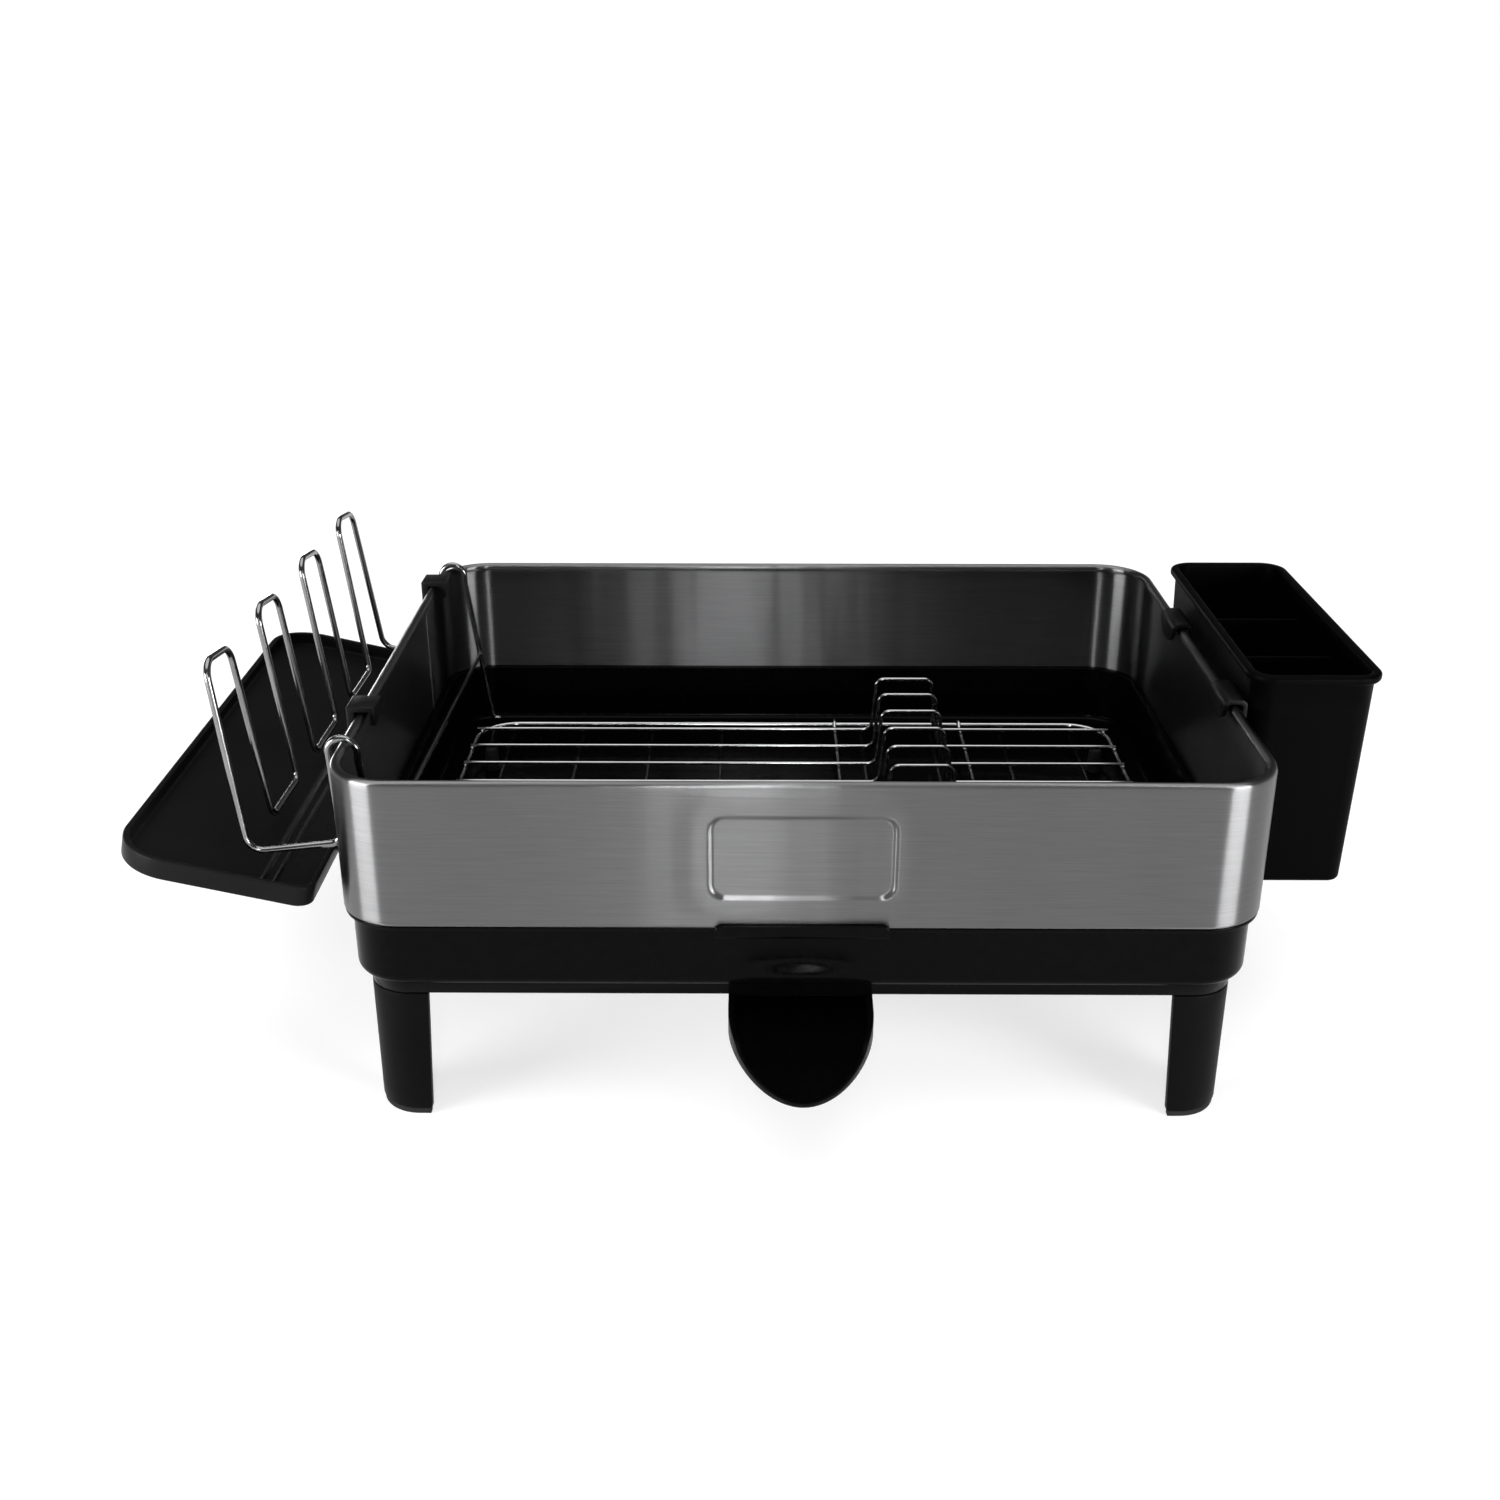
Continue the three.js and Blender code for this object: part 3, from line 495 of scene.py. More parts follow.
def smooth(t):
    t = min(1, max(0, t))
    return t * t * (3 - 2 * t)


def panel_distance(x, z):
    """Distance outside the edge of the pressed panel, below zero inside it."""
    dx = abs(x) - PANEL["half_x"] + PANEL["corner"]
    dz = abs(z - PANEL["z"]) - PANEL["half_z"] + PANEL["corner"]
    outside = math.hypot(max(dx, 0), max(dz, 0))
    return outside + min(max(dx, dz), 0) - PANEL["corner"]


def pressed(x, z):
    """How far the pressing pushes the sheet inwards, with a low swell in the metal around it."""
    distance = panel_distance(x, z)
    swell = SWELL["height"] * math.exp(-((distance - SWELL["from_edge"]) / SWELL["width"]) ** 2)
    return PRESS_DEPTH * smooth(0.5 - distance / PRESS_EDGE) - swell


def steel_place(station, inset, level):
    x, y, nx, ny = station
    if ny < -0.999 and level < FRAME_HIGH.z - BEAD:
        inset += pressed(x, level)
    return Vector((x - nx * inset, y - ny * inset, level))


def spaced(start, end, step):
    count = max(1, round((end - start) / step))
    return [start + (end - start) * k / count for k in range(count + 1)]


def steel_frame():
    low, high = FRAME_LOW.z, FRAME_HIGH.z
    reach = PANEL["half_x"] + 24 * MM
    fine_x = spaced(-reach, reach, 0.9 * MM)
    stations = outline(FRAME_HIGH.x, FRAME_HIGH.y, [FRAME_CORNER] * 4, CORNER_STEPS, fine_x)
    chamfer = 0.4 * MM
    rows = spaced(low + chamfer, high - BEAD, 1 * MM)
    bead, tuck = BEAD / 2, 1.1 * MM
    profile = [(0, z) for z in rows]
    profile += arc(bead, high - bead, bead, 180, -30, 14)
    profile += arc(SHEET + tuck, high - BEAD - 0.3 * MM, tuck, 90, 180, 4)
    profile += [(SHEET, z) for z in reversed(rows[:-2])]
    profile += [(SHEET - chamfer, low), (chamfer, low)]
    bm = bmesh.new()
    sweep(bm, stations, profile, steel_place, closed=True)
    piece_from(bm, "steel_band", "frame", "frame_steel", ["steel_frame"], sharp=50)


def steel_seam():
    """The overlapped and spot-welded joint of the band, inside its left wall."""
    near, far = SEAM["y"], SEAM["y"] + SEAM["width"]
    low, high = FRAME_LOW.z + 3 * MM, FRAME_HIGH.z - BEAD - 1.5 * MM
    points = [(near, low), (far, low), (far, high), (near, high)]
    start = FRAME_LOW.x + SHEET - SEAM["root"]
    depth = SEAM["lap"] + SEAM["root"]
    slab("steel_seam", points, start, depth, "yzx", "frame", "frame_steel", SEAM["edge"])


# ---- drip tray ----

TRAY = mm(inset=4, wall=2.5, step=79, round=5, floor=84.5, under=82, skirt=10, bottom=71.5)
FLANGE = mm(inset=0.4, bottom=112, top=114.2)
LIP = mm(inset=2.1, top=120)
SCOOP = mm(half=34, depth=3, low=84.5, high=109.5, edge=1.6, foot=9)
RIB = mm(half_width=1.2, half_length=135, pitch=45, root=0.2, side=0.3, crown=0.9)
TAB = mm(half=42, low=110.3, high=117.4, proud=3.2, corner=4)
NECK_Y = -128 * MM
NECK_RADIUS = 16 * MM


def scooped(x, z):
    """How far the finger scoop goes into the front wall."""
    if abs(x) > SCOOP["half"]:
        return 0
    bowl = SCOOP["depth"] * (1 - (x / SCOOP["half"]) ** 2) ** 2
    top = smooth((SCOOP["high"] - z) / SCOOP["edge"])
    foot = smooth((z - SCOOP["low"]) / SCOOP["foot"])
    return bowl * top * foot


def tray_place(station, inset, level):
    x, y, nx, ny = station
    if ny < -0.999 and inset < TRAY["skirt"] and level < FLANGE["bottom"]:
        inset += scooped(x, level)
    return Vector((x - nx * inset, y - ny * inset, level))


def tray_profile():
    """From the floor's underside, round the skirt and up the wall, over the lip and down to the floor."""
    edge = 0.6 * MM
    wall, turn, skirt = TRAY["inset"], TRAY["round"], TRAY["skirt"]
    inner = wall + TRAY["wall"]
    skirt_in = skirt + TRAY["wall"]
    slope, fillet = 0.2 * MM, 4 * MM
    under_flange = 0.4 * MM
    rows = spaced(TRAY["step"] + turn, FLANGE["bottom"] - 1.5 * MM, 0.8 * MM)
    profile = [(skirt_in, TRAY["under"]), (skirt_in, TRAY["bottom"] + edge)]
    profile += [(skirt_in - edge, TRAY["bottom"]), (skirt + edge, TRAY["bottom"])]
    profile += [(skirt, TRAY["bottom"] + edge), (skirt, TRAY["step"] - 0.5 * MM)]
    profile += [(skirt - 0.3 * MM, TRAY["step"])]
    profile += arc(wall + turn, TRAY["step"] + turn, turn, 270, 180, 10)
    profile += [(wall, z) for z in rows[1:]]
    profile += [(wall - under_flange, FLANGE["bottom"] - under_flange)]
    profile += arc(FLANGE["inset"] + edge, FLANGE["bottom"] + edge, edge, 270, 180, 3)
    profile += arc(FLANGE["inset"] + edge, FLANGE["top"] - edge, edge, 180, 90, 3)
    profile += [(LIP["inset"], FLANGE["top"] + 0.05 * MM), (LIP["inset"], LIP["top"] - edge)]
    profile += arc(LIP["inset"] + edge, LIP["top"] - edge, edge, 180, 90, 3)
    profile += arc(inner - edge, LIP["top"] - edge, edge, 90, 0, 3)
    profile += [(inner + slope, TRAY["floor"] + fillet)]
    profile += arc(inner + slope + fillet, TRAY["floor"] + fillet, fillet, 180, 270, 6)
    return profile


def drip_tray():
    reach = SCOOP["half"] + 2 * MM
    front_x = spaced(-reach, reach, 2 * MM)
    stations = outline(FRAME_HIGH.x, FRAME_HIGH.y, [FRAME_CORNER] * 4, CORNER_STEPS, front_x)
    bm = bmesh.new()
    under, over = sweep(bm, stations, tray_profile(), tray_place)
    drain = circle(NECK_RADIUS + 0.3 * MM, 0, NECK_Y, 48)
    fill_floor(bm, under, over, [drain])
    piece_from(bm, "drip_tray_shell", "tray", "tray_black", ["drip_tray"], sharp=45)


def circle(radius, x, y, steps):
    angles = [2 * math.pi * k / steps for k in range(steps)]
    return [(x + radius * math.cos(a), y + radius * math.sin(a)) for a in angles]


def round_rect(half_u, half_v, radius, u, v):
    """The outline of a rectangle with round corners, as points."""
    return [(u + s[0], v + s[1]) for s in outline(half_u, half_v, [radius] * 4, 6)]


def tray_tab():
    half, low, high = TAB["half"], TAB["low"], TAB["high"]
    corner, foot = TAB["corner"], 1 * MM
    points = [(-half, low + foot), (-half + foot, low), (half - foot, low), (half, low + foot)]
    points += arc(half - corner, high - corner, corner, 0, 90, 6)
    points += arc(-half + corner, high - corner, corner, 90, 180, 6)
    front = FRAME_LOW.y
    start, depth = front - TAB["proud"], TAB["proud"] - 0.3 * MM
    slab("tray_tab", points, start, depth, "xzy", "tray", "tray_black", 0.9 * MM)
    reach = half - corner
    root = [(-reach, low), (reach, low), (reach, FLANGE["top"]), (-reach, FLANGE["top"])]
    start, depth = front - 0.8 * MM, TRAY["inset"] + 1.5 * MM
    slab("tray_tab_root", root, start, depth, "xzy", "tray", "tray_black", 0.3 * MM)


def tray_ribs():
    """Low rounded ridges along the floor, on both sides of the drain."""
    bm = bmesh.new()
    plan = outline(RIB["half_width"], RIB["half_length"], [RIB["half_width"] * RIB_END] * 4, 8)
    shoulder = TRAY["floor"] + RIB["side"]
    profile = [(0, TRAY["floor"] - RIB["root"]), (0, shoulder)]
    profile += arc(RIB["crown"], shoulder, RIB["crown"], 180, 90, 4)
    for i in (-4, -3, -2, -1, 1, 2, 3, 4):
        stations = [(x + i * RIB["pitch"], y, nx, ny) for x, y, nx, ny in plan]
        for loop in sweep(bm, stations, profile):
            bm.faces.new(loop)
    piece_from(bm, "tray_ribs", "tray", "tray_black", material="polished_ridge")


# ---- legs ----

LEG = mm(arm=31.5, draft=3, shell=5, radius=22, bottom=3.3, top=71.2, edge=0.7)
PAD = mm(inset=0.6, height=3, edge=0.5)


def leg_arm(z):
    """How far a leg's two arms reach from the corner. They narrow downwards."""
    return LEG["arm"] - LEG["draft"] * (1 - z / LEG["top"])


def corner_plan(outer, inner, arm):
    """An L-shaped plan round the corner at the origin, between two insets, with round outsides."""
    radius = LEG["radius"]
    angles = [math.pi / 2 * k / 14 for k in range(15)]

    def bend(inset, angle):
        reach = radius - inset
        return -radius + reach * math.sin(angle), -radius + reach * math.cos(angle)

    plan = [(-arm, -outer)] + [bend(outer, a) for a in angles] + [(-outer, -arm)]
    plan += [(-inner, -arm)] + [bend(inner, a) for a in reversed(angles)] + [(-arm, -inner)]
    return plan


def corner_band(outer, inner, rows, place):
    """The plan stood up through rows of (level, arm)."""
    bm = bmesh.new()
    rings = []
    for z, arm in rows:
        plan = corner_plan(outer, inner, arm)
        rings.append([bm.verts.new(place @ Vector((x, y, z))) for x, y in plan])
    skin(bm, rings)
    return bm


def leg(where, x, y, turn):
    place = Matrix.Translation((x, y, 0)) @ Matrix.Rotation(turn, 4, "Z")
    rows = [(z, leg_arm(z)) for z in spaced(LEG["bottom"], LEG["top"], 8 * MM)]
    bm = corner_band(0, LEG["shell"], rows, place)
    shell = piece_from(bm, f"leg_shell_{where}", "tray", "leg_black", [f"leg_{where}"])
    softened(shell, LEG["edge"])
    arm = LEG["arm"] - LEG["draft"] - PAD["inset"]
    inner = LEG["shell"] - PAD["inset"]
    bm = corner_band(PAD["inset"], inner, [(0, arm), (PAD["height"], arm)], place)
    pad = piece_from(bm, f"pad_{where}", "tray", "pad_rubber", [f"leg_pad_{where}"])
    softened(pad, PAD["edge"])


def legs():
    x = FRAME_HIGH.x - TRAY["skirt"]
    y = FRAME_HIGH.y - TRAY["skirt"]
    leg("back_right", x, y, 0)
    leg("back_left", -x, y, math.pi / 2)
    leg("front_left", -x, -y, math.pi)
    leg("front_right", x, -y, -math.pi / 2)


# ---- spout ----

SPOUT = mm(half=35.5, tip=-233, nose_length=62, shoulder=22, nose=20, wall=2.5, deck_front=-158,
           deck_low=68.4, deck_high=71, floor_back=57.5, floor_tip=54.2, notch=-196, notch_drop=1.6,
           notch_edge=1.2)


def bezier(p0, p1, p2, p3, steps):
    """Points along a cubic curve, without its last one."""
    points = []
    for k in range(steps):
        t = k / steps
        a, b, c, d = (1 - t) ** 3, 3 * (1 - t) ** 2 * t, 3 * (1 - t) * t * t, t ** 3
        points.append(tuple(a * u + b * v + c * w + d * q for u, v, w, q in zip(p0, p1, p2, p3)))
    return points


def tongue_plan():
    """Round at the back about the neck, straight along the sides, and a curved nose."""
    half, tip, nose = SPOUT["half"], SPOUT["tip"], SPOUT["nose"]
    shoulder = tip + SPOUT["nose_length"]
    pull = shoulder - SPOUT["shoulder"]
    side = [-145 * MM, SPOUT["deck_front"], -165 * MM]
    angles = [math.pi * k / 32 for k in range(33)]
    points = [(half * math.cos(a), NECK_Y + half * math.sin(a)) for a in angles]
    points += [(-half, y) for y in side]
    points += bezier((-half, shoulder), (-half, pull), (-nose, tip), (0, tip), 24)
    points += bezier((0, tip), (nose, tip), (half, pull), (half, shoulder), 24)
    points += [(half, y) for y in [shoulder, *reversed(side)]]
    return points


def spout_floor(y):
    back = NECK_Y + SPOUT["half"]
    share = (back - y) / (back - SPOUT["tip"])
    return SPOUT["floor_back"] + (SPOUT["floor_tip"] - SPOUT["floor_back"]) * share


def spout_rim(y):
    tip_rim = SPOUT["floor_tip"] + SPOUT["wall"]
    if y > SPOUT["deck_front"]:
        return SPOUT["deck_low"]
    share = (SPOUT["deck_front"] - y) / (SPOUT["deck_front"] - SPOUT["tip"])
    rim = SPOUT["deck_high"] + (tip_rim - SPOUT["deck_high"]) * share
    drop = SPOUT["notch_drop"] * smooth((SPOUT["notch"] - y) / SPOUT["notch_edge"])
    fade = 1 - smooth((SPOUT["notch"] - y) / (SPOUT["notch"] - SPOUT["tip"]))
    return rim - drop * fade


def spout_place(station, inset, level):
    """level counts from the floor below 0.5, and back from the rim above it."""
    x, y, nx, ny = station
    base, rim = spout_floor(y), spout_rim(y)
    z = base + level if level < 0.5 else rim + (level - 1)
    return Vector((x - nx * inset, y - ny * inset, max(z, base)))


def spout():
    wall = SPOUT["wall"]
    edge = 0.7 * MM
    under_edge = 2.2 * MM
    profile = [(under_edge + 0.1 * MM, 0)]
    profile += arc(under_edge, under_edge, under_edge, 270, 180, 6)
    rim = arc(edge, -edge, edge, 180, 90, 4) + arc(wall - edge, -edge, edge, 90, 0, 4)
    profile += [(u, v + 1) for u, v in rim]
    profile += [(wall, wall + 0.1 * MM), (wall + 0.5 * MM, wall)]
    bm = bmesh.new()
    under, over = sweep(bm, stations_along(tongue_plan()), profile, spout_place)
    for loop in (under, over):
        fill(bm, loop_edges(bm, loop))
    piece_from(bm, "spout_trough", "spout", "spout_black", ["spout"], sharp=50)
    deck = [(x, y) for x, y in tongue_plan() if y >= SPOUT["deck_front"] - 0.01 * MM]
    depth = SPOUT["deck_high"] - SPOUT["deck_low"]
    slab("spout_deck", deck, SPOUT["deck_low"], depth, "xyz", "spout", "spout_black", 0.5 * MM)


def spout_neck():
    """The neck that stands up through the tray's floor, with its groove."""
    levels = [(16, 68.4), (16, 84.6), (14.8, 84.8), (14.8, 86.7), (16, 86.9), (16, 87.3), (15.6, 87.8),
              (13.2, 87.8), (12.8, 87.4), (12.8, 68.4)]
    bm = bmesh.new()
    stations = stations_along(circle(NECK_RADIUS, 0, NECK_Y, 56))
    profile = [(NECK_RADIUS - r * MM, z * MM) for r, z in levels]
    sweep(bm, stations, profile, closed=True)
    piece_from(bm, "spout_neck", "spout", "spout_black", sharp=40)


# ---- plate rack ----

RACK_WIRE = 3.2 * MM
THIN_WIRE = 2.2 * MM
RACK_CORNER = 25 * MM
HUMP = mm(left=49.5, top_left=52, top_right=86.5, right=88.5, foot_bend=6, top_bend=5.2)
BRACE = mm(step=6.3, slope=4.5, bend=2.5)
WELD = mm(hoop=1.5, hoop_length=1.9, crossing=1.1, crossing_length=1.6, bar=2, bar_length=1.6)


def rack_hoop():
    low, high = local_box("rack_perimeter")
    half_x, half_y, z = high.x - RACK_WIRE / 2, high.y - RACK_WIRE / 2, (low.z + high.z) / 2
    bm = bmesh.new()
    path = [(Vector((x, y, z)), Vector((-ny, nx, 0)))
            for x, y, nx, ny in outline(half_x, half_y, [RACK_CORNER] * 4, 16)]
    add_tube(bm, path, RACK_WIRE, closed=True)
    piece_from(bm, "rack_hoop", "rack", "rack_chrome", ["rack_perimeter"], sharp=60)


def rack_divider(i):
    node = f"rack_divider_{i}"
    low, high = local_box(node)
    y, z, top = (low.y + high.y) / 2, low.z + THIN_WIRE / 2, high.z - THIN_WIRE / 2
    corners = [
        (low.x, y, z), (HUMP["left"], y, z), (HUMP["top_left"], y, top, HUMP["top_bend"]),
        (HUMP["top_right"], y, top, HUMP["top_bend"]), (HUMP["right"], y, z), (high.x, y, z),
    ]
    wire_piece(f"rack_wire_{i}", corners, HUMP["foot_bend"], THIN_WIRE, "rack", "rack_chrome", [node])


def rack_cross_wire(i):
    node = f"rack_cross_wire_{i}"
    low, high = local_box(node)
    x, z, over = (low.x + high.x) / 2, low.z + THIN_WIRE / 2, high.z - THIN_WIRE / 2
    step = high.y - BRACE["step"]
    foot = step - BRACE["slope"]
    corners = [
        (x, low.y, over), (x, -step, over), (x, -foot, z), (x, foot, z), (x, step, over),
        (x, high.y, over),
    ]
    wire_piece(f"rack_brace_{i}", corners, BRACE["bend"], THIN_WIRE, "rack", "rack_chrome", [node])


def rack_welds():
    """Weld metal at every crossing of the rack's wires."""
    bm = bmesh.new()
    hoop_high = local_box("rack_perimeter")[1]
    along_x, along_y = Vector((1, 0, 0)), Vector((0, 1, 0))
    hoop_x = hoop_high.x - RACK_WIRE / 2
    hoop_top = hoop_high.z
    for i in range(1, 10):
        low, high = local_box(f"rack_divider_{i}")
        y = (low.y + high.y) / 2
        bulge = max(0, abs(y) - (hoop_high.y - RACK_WIRE / 2 - RACK_CORNER))
        x = hoop_x - RACK_CORNER + math.sqrt(RACK_CORNER ** 2 - bulge ** 2)
        for side in (-1, 1):
            spot = Vector((side * x, y, hoop_top))
            add_weld(bm, spot, along_x, along_y, WELD["hoop"], WELD["hoop_length"])
        for k in (1, 2):
            cross_low, cross_high = local_box(f"rack_cross_wire_{k}")
            spot = Vector(((cross_low.x + cross_high.x) / 2, y, low.z))
            add_weld(bm, spot, along_x, along_y, WELD["crossing"], WELD["crossing_length"])
    piece_from(bm, "rack_welds", "rack", "rack_chrome", sharp=60)


def rack_foot(where):
    node = f"rack_foot_{where}"
    low, high = local_box(node)
    x, y = (low.x + high.x) / 2, (low.y + high.y) / 2
    wide, narrow = (high.x - low.x) / 2, 3.6 * MM
    edge = 0.8 * MM
    profile = [(edge + 0.6 * MM, low.z)] + arc(edge, low.z + edge, edge, 270, 180, 4)
    profile += [(wide - narrow, high.z - edge)] + arc(wide - narrow + edge, high.z - edge, edge, 180, 90, 4)
    bm = bmesh.new()
    for loop in sweep(bm, stations_along(circle(wide, x, y, 28)), profile):
        bm.faces.new(loop)
    piece_from(bm, f"rack_boot_{where}", "rack", "pad_rubber", [node])


# ---- cup holder ----

CUP_TURN = -0.0235
CUP = mm(x=-219.9, y=15, half=141, wire=3.5, hook=7.4, loop_top=192.7, lean_from=181, lean_bend=12,
         foot=88, foot_x=20.3, toe=5, toe_bend=3, drop_foot=136.5, front_lean=2.4, bend=5, bar_x=14.1,
         bar_z=133, bar=3)
TINES = 4
TINE = mm(base_x=-49.9, top_x=-61.7, front_top=231, back_top=226.5, foot=133.5, splay=6, width=35.5,
          bend=9, foot_bend=5, outer_bend=9)


def hook_corners(side):
    """From the toe of the inner leg, up over the rim and down to the arm. Side is -1 at the front."""
    hook = CUP["hook"]
    y = side * CUP["half"]
    drop_x = -hook + (CUP["front_lean"] if side < 0 else 0)
    return [
        (CUP["foot_x"] + CUP["toe"], y, CUP["foot"]), (CUP["foot_x"], y, CUP["foot"], CUP["toe_bend"]),
        (hook, y, CUP["lean_from"], CUP["lean_bend"]), (hook, y, CUP["loop_top"], hook),
        (-hook, y, CUP["loop_top"], hook), (drop_x, y, CUP["drop_foot"]),
    ]


def loop_corners(i):
    """One upright loop, from its front foot over the top to its back foot. The end feet splay out."""
    base, top, z = TINE["base_x"], TINE["top_x"], TINE["foot"]
    pitch = (2 * CUP["half"] - TINE["width"]) / (TINES - 1)
    outer_y = CUP["half"] + TINE["splay"]
    front = -CUP["half"] + i * pitch
    back = front + TINE["width"]
    front_foot = (base, front, z, TINE["foot_bend"])
    back_foot = (base, back, z, TINE["foot_bend"])
    if i == 0:
        front_foot = (base, -outer_y, z, TINE["outer_bend"])
    if i == TINES - 1:
        back_foot = (base, outer_y, z, TINE["outer_bend"])
    return [
        front_foot, (top, front, TINE["front_top"], TINE["bend"]),
        (top, back, TINE["back_top"], TINE["bend"]), back_foot,
    ]


def cup_piece(bm, name, nodes):
    """Turns what was drawn along Y into a piece at the holder's own place and turn."""
    turn = Matrix.Translation((CUP["x"], CUP["y"], 0)) @ Matrix.Rotation(CUP_TURN, 4, "Z")
    bmesh.ops.transform(bm, matrix=turn, verts=bm.verts)
    piece_from(bm, name, "cup_holder", "cup_holder_chrome", nodes, sharp=60)


def cup_wire():
    """The holder is one wire: a hook, four upright loops in a row, and the other hook."""
    corners = hook_corners(-1)
    for i in range(TINES):
        corners += loop_corners(i)
    corners += reversed(hook_corners(1))
    bm = bmesh.new()
    add_tube(bm, bent_path(corners, CUP["bend"]), CUP["wire"], sides=24)
    nodes = ["cup_hook_1", "cup_hook_2"] + [f"cup_tine_{i + 1}" for i in range(TINES)]
    cup_piece(bm, "cup_holder_wire", nodes)


def cup_bar():
    """The rod between the hooks' inner legs, with a weld at each end."""
    end = CUP["half"] - CUP["wire"] / 2
    ends = [Vector((CUP["bar_x"], side * end, CUP["bar_z"])) for side in (-1, 1)]
    bm = bmesh.new()
    add_tube(bm, bent_path(ends, 0), CUP["bar"])
    for spot in ends:
        add_weld(bm, spot, Vector((0, 1, 0)), Vector((1, 0, 0)), WELD["bar"], WELD["bar_length"])
    cup_piece(bm, "cup_holder_bar", ["cup_bar"])


# ---- side tray ----

SIDE = mm(back=178.5, front=-150, span=99.9, height=10.7, wall=3, floor=2.6, outer=28, inner=9,
          edge_x=-240.65, edge_z=111.6)
SIDE_TILT = math.radians(12.7)
RAIL = mm(wide_inset=27.9, wide_half=1.9, narrow_inset=22, narrow_half=1.6, root=0.3)
CLIP = mm(arm_inner=0.4, arm_outer=4.6, over_rim=0.3, lip=2.4, lip_low=183.2, seat=0.3, shoulder=6)
RAIL_SLOPE = math.tan(math.radians(40))
RAIL_CREST = 0.6  # the share of a flank below its rounding


def on_side_tray(bm):
    """Moves what was drawn flat to the tray's own place, hung by its inner edge and tilted."""
    centre_y = (SIDE["back"] + SIDE["front"]) / 2
    edge = Matrix.Translation((SIDE["edge_x"], centre_y, SIDE["edge_z"]))
    hung = Matrix.Translation((-SIDE["span"] / 2, 0, 0))
    place = edge @ Matrix.Rotation(SIDE_TILT, 4, "Y") @ hung
    bmesh.ops.transform(bm, matrix=place, verts=bm.verts)
    return bm


def side_tray():
    half_x, half_y = SIDE["span"] / 2, (SIDE["back"] - SIDE["front"]) / 2
    wall, floor, height = SIDE["wall"], SIDE["floor"], SIDE["height"]
    edge, fillet = 0.9 * MM, 2 * MM
    profile = [(edge + 0.5 * MM, 0)] + arc(edge, edge, edge, 270, 180, 4)
    profile += arc(edge, height - edge, edge, 180, 90, 4)
    profile += arc(wall - edge, height - edge, edge, 90, 0, 4)
    profile += arc(wall + fillet, floor + fillet, fillet, 180, 270, 5)
    radii = [SIDE["inner"], SIDE["outer"], SIDE["outer"], SIDE["inner"]]
    bm = bmesh.new()
    for loop in sweep(bm, outline(half_x, half_y, radii, 16), profile):
        fill(bm, loop_edges(bm, loop))
    piece_from(on_side_tray(bm), "side_tray_pan", "side_tray", "side_tray_black", ["side_tray"])
    rails = bmesh.new()
    length = half_y - wall - 0.4 * MM
    add_floor_rail(rails, half_x - RAIL["wide_inset"], RAIL["wide_half"], length)
    add_floor_rail(rails, half_x - RAIL["narrow_inset"], RAIL["narrow_half"], length)
    piece_from(on_side_tray(rails), "side_tray_ridges", "side_tray", "side_tray_black",
               material="polished_ridge")


def add_floor_rail(bm, x, half_width, half_length):
    """A low rail along the tray's floor, with sloping flanks and a rounded crest."""
    plan = outline(half_width, half_length, [half_width * ROUND_END] * 4, 6)
    stations = [(sx + x, sy, nx, ny) for sx, sy, nx, ny in plan]
    floor, crest = SIDE["floor"], RAIL_CREST
    profile = [(0, floor - RAIL["root"])]
    for t in [k / 8 for k in range(8)]:
        rounding = max(0, t - crest) ** 2 / (2 * (1 - crest))
        profile.append((half_width * t, floor + RAIL_SLOPE * half_width * (t - rounding)))
    for loop in sweep(bm, stations, profile):
        bm.faces.new(loop)


def side_clip(i):
    """A moulded bracket over the rim, with a long outer arm down to the side tray."""
    node = f"side_tray_clip_{i}"
    low, high = local_box(node)
    rim = FRAME_LOW.x
    arm_inner, arm_outer = rim - CLIP["arm_inner"], rim - CLIP["arm_outer"]
    top, rim_top = high.z, FRAME_HIGH.z + CLIP["over_rim"]
    lip_outer, lip_inner, lip_low = rim + BEAD + CLIP["lip"], high.x, CLIP["lip_low"]
    foot_top = SIDE["edge_z"] + SIDE["height"] * math.cos(SIDE_TILT)
    seat_top = SIDE["edge_x"] + SIDE["height"] * math.sin(SIDE_TILT) + CLIP["seat"]
    points = [
        (lip_inner, lip_low), (lip_inner, top), (arm_outer, top), (arm_outer, foot_top + CLIP["shoulder"]),
        (seat_top, foot_top), (low.x, SIDE["edge_z"]), (arm_inner, SIDE["edge_z"]),
        (arm_inner, rim_top), (lip_outer, rim_top), (lip_outer, lip_low),
    ]
    depth = high.y - low.y
    slab(f"side_clip_{i}", points, low.y, depth, "xzy", "side_tray", "clip_black", 0.8 * MM, [node])


# ---- utensil holder ----

HOLDER = mm(corner=11, overhang=3, rim=4.6, wall=2.2, taper=3.3, slot_x=17, slot_y=2, slot_pitch=13)
HOOK = mm(thick=2.6, lip_bottom=179.5, tongue_round=12.4, step=1)
BLUNT = 0.97  # a hook's round end narrows by this share of its radius, short of a point


